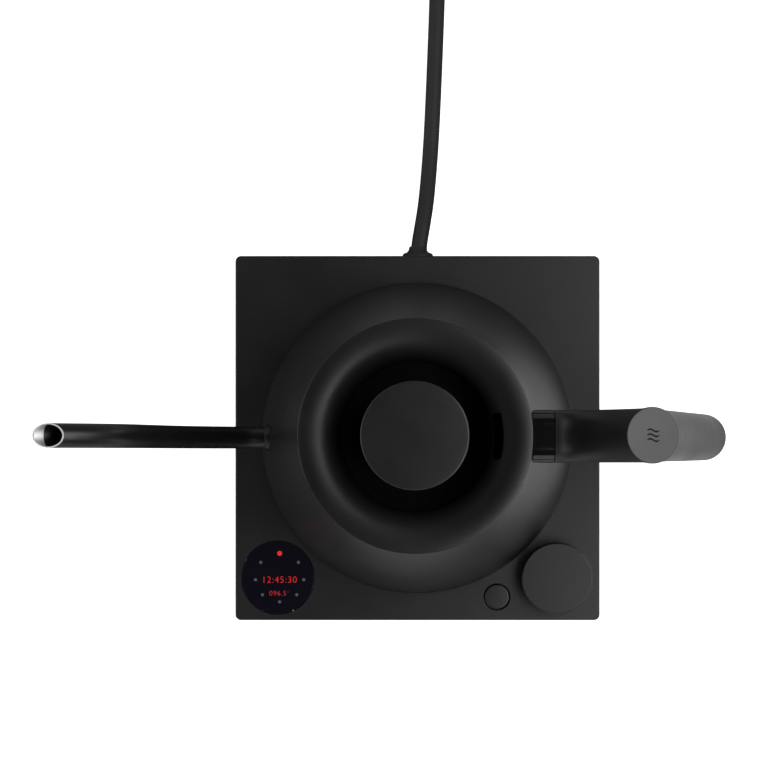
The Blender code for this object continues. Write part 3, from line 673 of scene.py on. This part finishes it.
def display():
    """The lens, and the marks that light up behind it: a ring of dots and two rows of digits."""
    low, high = node_box("display_lens")
    x, y = axis_of("display_lens")
    radius = radius_of("display_lens")
    lens = lathe(rounded([(0, low.z), (radius, low.z), (radius, high.z, 0.08), (0, high.z)]), FINE)
    place("lens", moved(lens, x, y), "glass", "base", "display_lens")
    face = high.z + 0.004
    dots, lit = bmesh.new(), bmesh.new()
    for degrees in DOT_ANGLES:
        a = math.radians(90 - degrees)
        at = (x + 0.9 + DOT_RING * math.cos(a), y + DOT_RING * math.sin(a))
        target, size = (dots, 0.72) if degrees else (lit, 1.15)
        bmesh.ops.create_circle(
            target, cap_ends=True, segments=24, radius=size,
            matrix=Matrix.Translation((*at, face)),
        )
    thicken(dots)
    thicken(lit)
    place("display_dots", dots, "dim_light", "base")
    place("display_dot_lit", lit, "red_light", "base")
    for number, (words, height, drop) in enumerate(DISPLAY_ROWS, 1):
        digits = digit_mesh(words, height)
        moved(digits, x + 0.8, y - drop, face)
        place(f"display_digits_{number}", digits, "red_light", "base")


def thicken(mesh, depth=0.02):
    """Turns flat faces into thin plates, always in the same order of faces."""
    flat, rims = mesh.faces[:], [edge for edge in mesh.edges if edge.is_boundary]
    raised = {vert: mesh.verts.new(vert.co + Vector((0, 0, depth))) for vert in mesh.verts[:]}
    for face in flat:
        mesh.faces.new([raised[vert] for vert in face.verts])
    for a, b in (edge.verts for edge in rims):
        mesh.faces.new((a, b, raised[b], raised[a]))


def digit_mesh(words, height):
    """A row of digits in Blender's own plain face, centred on the origin, as thin plates."""
    text = bpy.data.curves.new("digits", "FONT")
    text.body = words
    text.align_x = "CENTER"
    text.align_y = "CENTER"
    text.size = height / 0.7
    text.offset = -0.07
    text.space_character = 1.12
    text.resolution_u = 4
    text.extrude = 0.01
    return evaluated(link_new("digits", text))


def crowned(radius, top, rise, edge):
    """Outline of a round top that rises a little to its middle, from its rounded rim inwards."""
    curve = (radius * radius + rise * rise) / (2 * rise)
    start = math.degrees(math.acos(radius / curve))
    rim, *rest = arc((0, top - curve), curve, start, 90, 8)
    return [(*rim, edge), *rest]


def dial():
    low, high = node_box("dial")
    radius = (high.x - low.x) / 2
    outline = rounded([
        (3.15, low.z), (6, low.z), (6, high.z - 2.5), (radius - 2, high.z - 2.5),
        (radius - 2, low.z), (radius, low.z, 0.3), (radius, high.z, 0.6), (0, high.z),
        (0, high.z - 1.5), (3.15, high.z - 1.5),
    ])
    place("dial_knob", moved(lathe(outline, FINE), *axis_of("dial")), "grip", "dial", "dial")


def button():
    low, high = node_box("button")
    top, radius = high.z, 5.75
    outline = rounded([
        (0, low.z), (2, low.z), (2, 25.2), (7.2, 25.2), (7.2, 26.5), (radius, 26.5),
        *crowned(radius, top, BUTTON_CROWN, 0.5),
    ])
    place("push_button", moved(lathe(outline, FINE), *axis_of("button")), "grip",
          "button", "button")


def base_connector():
    """The tower's two rings of plastic, with the ring slot and the pin hole between them."""
    low, high = node_box("base_connector")
    under, top = 27.3, high.z
    outline = rounded([
        (2.6, low.z), (19, low.z), (19, under), (14, under), (14, top, 1.0), (10.6, top, 0.4),
        (10.6, 25), (7.9, 25), (7.9, top, 0.4), (2.6, top, 0.8),
    ])
    place("connector_tower", moved(lathe(outline), *KETTLE), "plastic", "base", "base_connector")


def feet():
    """Rubber feet with a rounded tread edge and one shallow ring on the tread."""
    for number in range(1, 5):
        name = f"foot_{number}"
        low, high = node_box(name)
        radius = (high.x - low.x) / 2
        outline = rounded([
            (0, 0), (3.0, 0, 0.3), (3.3, 0.5), (4.1, 0.5), (4.4, 0, 0.3), (radius, 0, 0.9),
            (radius, high.z), (0, high.z),
        ])
        place(f"{name}_pad", moved(lathe(outline), *axis_of(name)), "rubber", "base", name)


def cross_screw(name, body):
    """A pan-head screw, head down, with a cross recess, on the CAD screw's own axis."""
    low, high = node_box(name)
    head, shank = (high.x - low.x) / 2, (high.x - low.x) / 4 + 0.1
    grip = low.z + min(1.6, head * 0.45)
    outline = rounded([
        (0, low.z), (head, low.z, head * 0.25), (head, grip), (shank, grip), (shank, high.z, 0.3),
        (0, high.z),
    ])
    mesh = lathe(outline, 40)
    arm, deep = head * 0.55, grip - low.z
    for x, y in ((arm, arm * 0.24), (arm * 0.24, arm)):
        recess = block((-x, -y, low.z - 1), (x, y, low.z + deep * 0.7))
        mesh = cut(mesh, recess)
    place(f"{name}_head", moved(mesh, *axis_of(name)), "steel", body, name)


def cord_gland():
    """Grommet in the back wall, with a rounded lip and a short taper onto the lead."""
    low, high = node_box("cord_gland")
    x, radius, face = (low.x + high.x) / 2, (high.x - low.x) / 2, high.y
    wall = BASE_HALF
    bore = CORD_RADIUS + 0.08
    outline = rounded([
        (0, wall - 6), (7, wall - 6), (7, wall - 2.7), (5.2, wall - 2.7), (5.2, wall + 0.3),
        (radius, wall + 0.3), (radius, face, 1.6), (5.4, face), (4.5, face + 1.1),
        (bore + 0.12, face + 3.0), (bore, face + 3.0), (bore, face + 0.3), (0, face + 0.3),
    ])
    mesh = moved(lying(lathe(outline), (0, 1, 0)), x, 0, GLAND_Z)
    place("gland", mesh, "rubber", "base", "cord_gland")


# ---- kettle

def kettle_body():
    """Spun cone, coated outside and bare inside, with the lid's mouth rolled in at the top."""
    tilt = math.degrees(math.atan(BODY_SLOPE))
    foot = BODY_EDGE_Z - BODY_BOTTOM
    centre = (BODY_RADIUS - foot / math.cos(math.radians(tilt)), BODY_EDGE_Z)
    under_rim = RIM_Z - STEEL - 0.5
    inner_top = RIM_RADIUS + BODY_SLOPE * (RIM_Z - 0.5 - under_rim) - STEEL - 0.1
    outside = [
        *rounded([
            (BODY_OPENING, BODY_BOTTOM), (MOUTH_RADIUS, RIM_Z - MOUTH_DEPTH), (MOUTH_RADIUS, RIM_Z, 0.5),
            (RIM_RADIUS, RIM_Z, 0.7), (centre[0] + foot, BODY_EDGE_Z + 1),
        ])[1:-1],
        *arc(centre, foot, tilt, -90, 14),
        (BODY_OPENING, BODY_BOTTOM),
    ]
    inside = [
        (BODY_OPENING, BODY_BOTTOM + STEEL),
        *arc(centre, foot - STEEL, -90, tilt, 10),
        (inner_top, under_rim),
        (MOUTH_RADIUS + STEEL, under_rim),
        (MOUTH_RADIUS + STEEL, RIM_Z - MOUTH_DEPTH),
    ]
    bare = range(len(outside) - 1, len(outside) + len(inside) + 1)
    mesh = lathe(outside + inside, FINE, bare)
    hole = lying(rod(SPOUT_RADIUS + 0.3, 0, 20), (-1, 0, 0))
    mesh = cut(mesh, moved(hole, -60, 0, SPOUT_ROOT_Z))
    place("kettle_shell", moved(mesh, *KETTLE), "coated spun", "kettle", "kettle_body")


def body_cone(offset=0.0):
    """A solid on the body's outer surface, grown by offset, for shaping what meets it."""
    low, high = BODY_EDGE_Z - 4, RIM_Z + 4
    wide = BODY_RADIUS + 4 * BODY_SLOPE + offset
    return lathe([(0, low), (wide, low), (wide - BODY_SLOPE * (high - low), high), (0, high)], FINE)


def kettle_floor():
    """The heater plate with a soft cove at its edge, and its screw bosses underneath."""
    edge = radius_of("heater_plate")
    outline = rounded([(0, FLOOR_Z), (edge, FLOOR_Z), (edge, FLOOR_Z + 1.5, 0.4), (0, FLOOR_Z + 1.5)])
    mesh = lathe(outline, FINE)
    for at in around(3, SCREW_CIRCLE, 90):
        boss = lathe([(1.8, 35.2), (3.0, 35.2), (3.0, FLOOR_Z + 0.5), (1.8, FLOOR_Z + 0.5)], 32)
        mesh = combined(mesh, moved(boss, *at), "UNION")
    place("heater_floor", moved(mesh, *KETTLE), "spun", "kettle", "heater_plate")


def kettle_underside():
    """Bottom cover with its standing ring, and the socket that drops over the tower."""
    outline = rounded([
        (19.3, 32), (60, 32, 0.4), (60, 30.3, 0.4), (64.5, 30.3, 0.5), (65.5, 31.3), (65.5, 34.5),
        (19.3, 34.5, 0.5),
    ])
    cover = lathe(outline, FINE)
    for at in around(3, SCREW_CIRCLE, 90):
        cover = cut(cover, moved(rod(1.8, 30, 36), *at))
    place("underside", moved(cover, *KETTLE), "plastic", "kettle", "bottom_cover")
    low, high = node_box("kettle_socket")
    roof, wall, radius = 36.6, 14.7, (high.x - low.x) / 2
    outline = rounded([
        (0, roof), (wall, roof, 0.5), (wall, low.z, 0.5), (radius, low.z, 0.5), (radius, high.z),
        (0, high.z),
    ])
    place("socket_cup", moved(lathe(outline), *KETTLE), "plastic", "connector", "kettle_socket")


def spout():
    """Gooseneck tube, coated outside, bare steel on its slanted cut and just inside the tip. Deeper in,
    the bore is black coat too: painted shade for the shadow the rim casts into the tube.
    """
    path = smooth_path(SPOUT_ROUTE, SPOUT_STEPS)
    mesh = bmesh.new()
    outer, inner = [], []
    for i, point in enumerate(path):
        along = path[min(i + 1, len(path) - 1)] - path[max(i - 1, 0)]
        outer.append(ring_in_xz(mesh, point, along, superellipse(SPOUT_RADIUS, SPOUT_RADIUS, 2, 48)))
        inner.append(ring_in_xz(mesh, point, along, superellipse(SPOUT_BORE, SPOUT_BORE, 2, 48)))
    # Only the bore's first spans from the tip are bare steel. The black coat beyond them is painted
    # shade, and the place where it starts stands for the edge of the rim's shadow.
    bridge(mesh, outer + inner[::-1], True, range(len(outer), len(outer) + SPOUT_STEPS))
    away = turned(block((-60, -60, 0), (60, 60, 60)), -TIP_TILT, "Y")
    mesh = cut(mesh, moved(away, TIP_CENTRE[0], 0, TIP_CENTRE[1]))
    facing = Vector((math.sin(-TIP_TILT), 0, math.cos(TIP_TILT)))
    mesh.normal_update()
    for face in mesh.faces:
        if abs(face.normal.dot(facing)) > 0.999 and face.calc_center_median().z > 150:
            face.material_index = 1
    place("spout_tube", moved(mesh, *KETTLE), "coated satin", "kettle", "spout")


def spout_collar():
    """The bead where the spout enters the body."""
    bore = SPOUT_RADIUS + 0.06
    bead = lathe(rounded([(bore, 60), (5.9, 60), (5.9, 69.0, 0.6), (bore, 69.0)]))
    bead = cut(moved(lying(bead, (-1, 0, 0)), 0, 0, SPOUT_ROOT_Z), body_cone(0.05))
    place("spout_bead", moved(bead, *KETTLE), "coated", "kettle", "spout_collar")


def neck():
    """Glossy bracket between the body and the arm, with a tongue inside the arm."""
    low, high = node_box("handle_neck")
    half_width, half_height = (high.y - low.y) / 2, (high.z - low.z) / 2

    def rings(mesh):
        made = []
        for x, shrink in ((44, 0), (NECK_END - 0.1, 0), (NECK_END, 0.1)):
            shape = superellipse(half_width - shrink, half_height - shrink, NECK_POWER, 96)
            made.append(ring_in_xz(mesh, (x, ARM_Z), (1, 0), shape))
        return made

    bracket = cut(solid_of(rings), body_cone(0.3))
    tongue = lying(rod(4, NECK_END - 3, NECK_END + 14), (1, 0, 0))
    bracket = combined(bracket, moved(tongue, 0, 0, ARM_Z), "UNION")
    bracket = cut(bracket, moved(rod(1.7, 99, ARM_Z + 3), HANDLE_SCREW_X, 0))
    place("neck_bracket", moved(bracket, *KETTLE), "gloss", "kettle", "handle_neck")


def bezier(points, t):
    """Point and direction at t on a cubic Bezier curve of flat points."""
    a, b, c, d = (Vector(p) for p in points)
    ab, bc, cd = a.lerp(b, t), b.lerp(c, t), c.lerp(d, t)
    low, high = ab.lerp(bc, t), bc.lerp(cd, t)
    return low.lerp(high, t), (high - low).normalized()


def handle():
    """Arm and grip run into one another, remeshed as one skin and cut flat for neck and cap."""
    up = Vector((math.sin(CAP_TILT), math.cos(CAP_TILT)))
    cap, foot, head = Vector(CAP_CENTRE), Vector(GRIP_FOOT), Vector(GRIP_HEAD)
    down = (foot - head).normalized()

    def arm_rings(mesh):
        made = [ring_in_xz(mesh, (NECK_END - 4, ARM_Z), (1, 0), superellipse(*ARM_HALF, NECK_POWER, 64))]
        for i in range(25):
            t = i / 24
            point, along = bezier(ARM_CURVE, t)
            power = NECK_POWER + (2 - NECK_POWER) * min(1.0, 1.6 * t)
            shape = superellipse(ARM_HALF[0] - 0.2 * t, ARM_HALF[1] + 1.9 * t, power, 64)
            made.append(ring_in_xz(mesh, point, along, shape))
        return made

    def grip_rings(mesh):
        sections = [
            (cap + up * 3, -up, CAP_RADIUS), (cap - up * 2.3, -up, CAP_RADIUS),
            (head, down, 10.6), (foot - down * GRIP_END, down, GRIP_RADIUS),
        ]
        for a in (25, 50, 70, 90):
            turn = math.radians(a)
            radius = GRIP_RADIUS - GRIP_END * (1 - math.cos(turn))
            sections.append((foot - down * GRIP_END * (1 - math.sin(turn)), down, radius))
        return [ring_in_xz(mesh, at, along, superellipse(r, r, 2, 64)) for at, along, r in sections]

    mesh = combined(solid_of(arm_rings), solid_of(grip_rings), "UNION")
    skin = scratch_object(mesh)
    remesh = skin.modifiers.new("skin", "REMESH")
    remesh.mode = "VOXEL"
    remesh.voxel_size = HANDLE_VOXEL
    smooth = skin.modifiers.new("smooth", "SMOOTH")
    smooth.factor = 0.5
    smooth.iterations = 14
    mesh = evaluated(skin)
    away = turned(block((-40, -40, -CAP_THICKNESS - 0.3), (40, 40, 40)), CAP_TILT, "Y")
    mesh = cut(
        mesh,
        moved(away, cap[0], 0, cap[1]),
        block((NECK_END - 20, -40, 90), (NECK_END + 0.3, 40, 160)),
        moved(lying(rod(4.3, -2, 14.6), (1, 0, 0)), NECK_END, 0, ARM_Z),
        moved(rod(1.7, 100, ARM_Z), HANDLE_SCREW_X, 0),
        moved(rod(3.2, 100, 120.8), HANDLE_SCREW_X, 0),
    )
    place("handle_grip", moved(mesh, *KETTLE), "grip", "kettle", "handle",
          slot="grip_plastic")


def handle_cap():
    """Disc on the handle's head, with three short wavy lines for steam set into it."""
    edge = rounded([
        (0, -CAP_THICKNESS), (CAP_RADIUS, -CAP_THICKNESS), (CAP_RADIUS, 0, 0.35), (0, 0),
    ])
    disc = lathe(edge, FINE)
    mark = bmesh.new()
    for x in (-1.9, 0.0, 1.9):
        left, right = [], []
        for i in range(17):
            share = i / 16
            y = (share - 0.5) * 5.4
            sway = 0.5 * math.sin(math.tau * share)
            half = 0.34 * min(1.0, 4 * min(share, 1 - share) + 0.35)
            left.append(mark.verts.new((y, x + sway - half, 0.004)))
            right.append(mark.verts.new((y, x + sway + half, 0.004)))
        for i in range(16):
            mark.faces.new((left[i], right[i], right[i + 1], left[i + 1]))
    thicken(mark)
    for name, mesh, finish, nodes in (
        ("handle_disc", disc, "grip", ["handle_cap"]), ("handle_mark", mark, "mark", []),
    ):
        moved(turned(mesh, CAP_TILT, "Y"), KETTLE[0] + CAP_CENTRE[0], 0, CAP_CENTRE[1])
        place(name, mesh, finish, "kettle", *nodes, slot="grip_plastic")


# ---- lid

def lid_curve(top, across, deep, start, end, steps):
    """Points on an ellipse whose highest point is the lid's crest."""
    return [
        (LID_CREST_RADIUS + across * x, top - deep + deep * z)
        for x, z in arc((0, 0), 1, start, end, steps)
    ]


def lid_shell():
    """Rim that rolls over in one sweep into the deep recess about the knob, with its slot."""
    low = LID_TOP - 1.5
    across, deep = LID_SWEEP
    well, floor = LID_CREST_RADIUS - across, LID_FLOOR + STEEL
    start = math.degrees(math.acos((LID_RADIUS - LID_CREST_RADIUS) / across))
    sweep = lid_curve(LID_TOP, across, deep, start, 180, 40)
    outline = rounded([
        (LID_RADIUS, low, 0.3), (*sweep[0], 0.4), *sweep[1:], (well, floor, 1.0), (LID_HOLE, floor),
        (LID_HOLE, LID_FLOOR), (well + STEEL, LID_FLOOR),
        *lid_curve(low, across - STEEL, deep - STEEL, 180, 90, 12),
    ])
    # The spans from the foot of the sweep down to the floor take the second, near-black finish. This is
    # painted shade for the dark bottom of the recess round the knob.
    turns = [i for i, (radius, z) in enumerate(outline) if radius < well + 0.2 and z > LID_FLOOR]
    shell = cut(lathe(outline, FINE, range(turns[0], turns[-1])), vent_cutter())
    place("lid_rim", moved(shell, *KETTLE), "coated thin_coat", "lid", "lid_shell")


def vent_cutter():
    """A curved slot with round corners, laid out as (radius, length along the middle arc)."""
    inner, outer, half = VENT
    middle = (inner + outer) / 2
    reach = half * middle
    corners = []
    for side, ways in ((inner - middle, (-1, 1)), (outer - middle, (1, -1))):
        corners.append((side, ways[0] * reach, VENT_CORNER))
        corners += [(side, ways[1] * y) for y in (-6, -3, 0, 3, 6)]
        corners.append((side, ways[1] * reach, VENT_CORNER))
    shape = []
    for across, along in rounded(corners):
        a = along / middle
        shape.append(((middle + across) * math.cos(a), (middle + across) * math.sin(a)))
    return solid_of(lambda mesh: [flat_ring(mesh, shape, z) for z in (128, 150)])


def lid_liner():
    """Steel cup under the shell, its drip holes, and the seal round it."""
    low, wall, top = LID_FLOOR - 0.3, 43.6, LID_TOP - 2.6
    outline = rounded([
        (LID_HOLE, low), (wall - 1, low), (wall - 1, top), (wall, top, 0.3),
        (wall, low - 1.2, 0.8), (LID_HOLE, low - 1.2),
    ])
    # The cup's inside floor and wall take the near-black second finish. This is painted shade for what
    # shows, unlit, through the slot.
    liner = lathe(outline, FINE, range(0, 2))
    for at in around(4, 38, 45):
        liner = cut(liner, moved(rod(2.5, low - 3, low + 1), *at))
    place("lid_cup", moved(liner, *KETTLE), "spun thin_coat", "lid", "lid_liner")
    lips = rounded([
        (43.9, 133.4), (44.5, 133.4, 0.2), (44.9, 134.4, 0.3), (44.6, 135.4), (44.9, 136.4, 0.3),
        (44.5, 137.4, 0.2), (43.9, 137.4),
    ])
    place("lid_gasket", moved(lathe(lips, FINE), *KETTLE), "rubber", "lid", "lid_seal")


def lid_knob():
    low, top = (corner.z for corner in node_box("lid_knob"))
    inside = KNOB_RADIUS - 2.5
    outline = rounded([
        (2.0, low), (5, low), (5, top - 2.5), (inside, top - 2.5), (inside, KNOB_SKIRT_Z),
        (KNOB_RADIUS, KNOB_SKIRT_Z, 0.4), *crowned(KNOB_RADIUS, top, KNOB_CROWN, 0.65),
        (0, low + 16), (2.0, low + 16),
    ])
    place("lid_grip", moved(lathe(outline, FINE), *KETTLE), "grip", "lid", "lid_knob")


# ---- cord, its tie and its plug

def power_cord():
    points = cord_points()
    curve = bpy.data.curves.new("power_cord", "CURVE")
    curve.dimensions = "3D"
    curve.bevel_depth = CORD_RADIUS * MM
    curve.bevel_resolution = 6
    curve.use_fill_caps = True
    spline = curve.splines.new("POLY")
    spline.points.add(len(points) - 1)
    for target, point in zip(spline.points, points):
        target.co = (*(point * MM), 1)
    spline.use_smooth = True
    curve.materials.append(FINISHES["jacket"])
    piece = link_new("power_cord", curve)
    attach(piece, "base")
    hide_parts("cord", "cord_coil", "cord_tail")


def cord_tie():
    """A fabric strap round the stack of turns, on the coil's far side from the plug."""
    angle = math.tau * TIE_TURN
    low = coil_height(TIE_TURN) - CORD_RADIUS
    high = coil_height(TIE_TURN + math.floor(COIL_TURNS - TIE_TURN)) + CORD_RADIUS
    half_height = (high - low) / 2 + 0.05
    half_width = CORD_RADIUS + 0.05
    thick, half_band = 0.75, 5.0
    mesh = bmesh.new()
    rings = []
    for grow, offset in ((0, -half_band), (thick, -half_band), (thick, half_band), (0, half_band)):
        wide, tall, turn = half_width + grow, half_height + grow, half_width * 0.9 + grow
        corners = [(-wide, -tall, turn), (wide, -tall, turn), (wide, tall, turn), (-wide, tall, turn)]
        rings.append([
            mesh.verts.new((COIL_RADIUS + x, offset, (low + high) / 2 + y))
            for x, y in rounded(corners, 8)
        ])
    bridge(mesh, rings, True)
    place("cord_tie", moved(turned(mesh, angle, "Z"), COIL_CENTRE.x, COIL_CENTRE.y), "tie", "base")


def plug():
    """Moulded three-pin plug on its side: ribbed strain relief, waisted grip and flat face."""
    low, high = node_box("plug_body")
    entry, y, z = high.x, (low.y + high.y) / 2, (low.z + high.z) / 2
    half_y, half_z = (high.y - low.y) / 2, (high.z - low.z) / 2
    sections = [(0, 4.4, 4.4, 2), (0.3, 5.0, 5.0, 2)]
    for rib in range(4):
        start, size = 0.9 + 2.3 * rib, 5.1 + 0.35 * rib
        for further, groove in ((0, 0), (1.2, 0), (1.35, 0.7), (2.15, 0.7)):
            sections.append((start + further, size - groove, size - groove, 2))
    sections += [
        (11.0, 7.6, 7.3, 2.2), (13.0, 10.0, 9.3, 2.6), (15.5, 12.0, 11.2, 3.0),
        (18.5, 13.1, 12.2, 3.4), (22, half_y - 0.7, half_z - 0.5, 3.6),
        (27, half_y - 0.5, half_z - 0.4, 3.8), (31, half_y, half_z, 4), (35.2, half_y, half_z, 4),
        (35.7, half_y - 0.25, half_z - 0.25, 4), (36, half_y - 0.9, half_z - 0.9, 4),
    ]

    def rings(mesh):
        return [
            ring_in_xz(mesh, (entry - x, z), (-1, 0), superellipse(a, b, power, 64))
            for x, a, b, power in sections
        ]

    body = moved(solid_of(rings), 0, y)
    body = cut(body, moved(lying(rod(CORD_RADIUS + 0.05, -1, 6), (-1, 0, 0)), entry, y, z))
    place("plug", body, "rubber", "base", "plug_body")
    for number in (1, 2):
        name = f"plug_blade_{number}"
        low, high = node_box(name)
        blade = block(low, high)
        bmesh.ops.bevel(blade, geom=blade.edges[:], offset=0.25, segments=3, affect="EDGES")
        hole = moved(lying(rod(1.5, -5, 5), (0, 1, 0)), low.x + 3.6, (low.y + high.y) / 2,
                     (low.z + high.z) / 2)
        place(f"{name}_pin", cut(blade, hole), "brass", "base", name)
    low, high = node_box("plug_ground_pin")
    radius = (high.y - low.y) / 2
    pin = lathe(rounded([
        (0, 0), (radius, 0), (radius, high.x - low.x, radius * 0.8), (0, high.x - low.x),
    ]), 40)
    at = (high.x, (low.y + high.y) / 2, (low.z + high.z) / 2)
    place("plug_earth_pin", moved(lying(pin, (-1, 0, 0)), *at), "brass", "base", "plug_ground_pin")


# ---- camera, light and floor

def make_camera():
    """Straight down from a metre up, a little off the kettle's own axis."""
    data = bpy.data.cameras.new("camera")
    data.sensor_width = 36
    data.lens = 96.23
    data.shift_x = -0.0587
    data.shift_y = 0.0823
    data.clip_start = 0.05
    camera = link_new("camera", data)
    camera.location = ((KETTLE[0] + 8) * MM, -7 * MM, 1.0)
    bpy.context.scene.camera = camera


# Soft lamps round the kettle: azimuth from +X, elevation, distance and side in metres, watts
LAMPS = (
    (320, 52, 0.6, 0.30, 0.83),
    (340, 52, 0.6, 0.30, 0.51),
    (0, 52, 0.6, 0.30, 0.30),
    (0, 64, 0.6, 0.30, 0.17),
    (20, 52, 0.6, 0.30, 0.32),
    (40, 52, 0.6, 0.30, 0.31),
    (20, 40, 0.6, 0.30, 0.68),
    (90, 16, 0.7, 0.50, 0.37),
    (135, 35, 0.7, 0.45, 0.65),
    (180, 10, 0.7, 0.45, 1.18),
    (180, 35, 0.7, 0.45, 0.60),
    (225, 35, 0.7, 0.45, 0.80),
    (270, 10, 0.7, 0.45, 0.67),
)
# Light that the table throws back up: middle from the kettle's axis, sides in metres, watts
BOUNCE = (
    (0.14, 0.0, 0.08, 0.30, 0.054),
    (0.27, 0.0, 0.16, 0.50, 0.140),
    (0.50, 0.0, 0.30, 0.80, 3.70),
    (0.0, -0.27, 0.50, 0.30, 0.235),
    (0.0, 0.27, 0.50, 0.30, 0.145),
    (-0.27, 0.0, 0.30, 0.50, 0.072),
)


def soft_lamp(name, place, facing, sides, power):
    """A rectangular lamp whose face looks along facing. The camera doesn't see it."""
    data = bpy.data.lights.new(name, "AREA")
    data.shape = "RECTANGLE"
    data.size, data.size_y = sides
    data.energy = power
    item = link_new(name, data)
    item.location = place
    item.rotation_mode = "QUATERNION"
    item.rotation_quaternion = (-Vector(facing)).to_track_quat("Z", "Y")
    item.visible_camera = False


def make_lights():
    target = Vector((KETTLE[0] * MM, 0, 0.08))
    for number, (azimuth, elevation, distance, side, power) in enumerate(LAMPS, 1):
        a, e = math.radians(azimuth), math.radians(elevation)
        away = Vector((math.cos(a) * math.cos(e), math.sin(a) * math.cos(e), math.sin(e)))
        soft_lamp(f"lamp_{number}", target + away * distance, -away, (side, side), power)
    for number, (x, y, side_x, side_y, power) in enumerate(BOUNCE, 1):
        place = (target.x + x, y, 0.0001)
        soft_lamp(f"bounce_{number}", place, (0, 0, 1), (side_x, side_y), power)


def make_floor():
    """A pale sheet that glows enough to stay plain white, and a pale room beyond it."""
    mesh = bmesh.new()
    bmesh.ops.create_circle(mesh, cap_ends=True, segments=64, radius=3000)
    bmesh.ops.scale(mesh, verts=mesh.verts, vec=(MM, MM, MM))
    data = mesh_data("floor", mesh)
    paper = Finish("paper", (0.8, 0.8, 0.8), 0.9, Emission_Color=(1, 1, 1, 1), Emission_Strength=1.0)
    data.materials.append(paper.material)
    floor = link_new("floor", data)
    floor.location.z = -0.0002
    floor.visible_diffuse = False
    floor.visible_glossy = False
    world = bpy.data.worlds.new("room")
    world.use_nodes = True
    world.node_tree.nodes["Background"].inputs["Color"].default_value = (1, 1, 1, 1)
    bpy.context.scene.world = world
    world.cycles_visibility.diffuse = False
    world.cycles_visibility.glossy = False


def build():
    bpy.context.scene.view_settings.view_transform = "Standard"
    make_camera()
    make_lights()
    make_floor()
    finish_kept_nodes()
    for make in (base_cover, display, dial, button, base_connector, feet, cord_gland,
                 kettle_body, kettle_floor, kettle_underside, spout, spout_collar, neck, handle,
                 handle_cap, lid_shell, lid_liner, lid_knob, cord_tie, plug):
        make()
    for number in range(1, 5):
        cross_screw(f"base_screw_{number}", "base")
    for number in range(1, 4):
        cross_screw(f"bottom_screw_{number}", "kettle")
    cross_screw("handle_screw", "kettle")
    cross_screw("knob_screw", "lid")
    power_cord()


build()
bpy.context.view_layer.update()
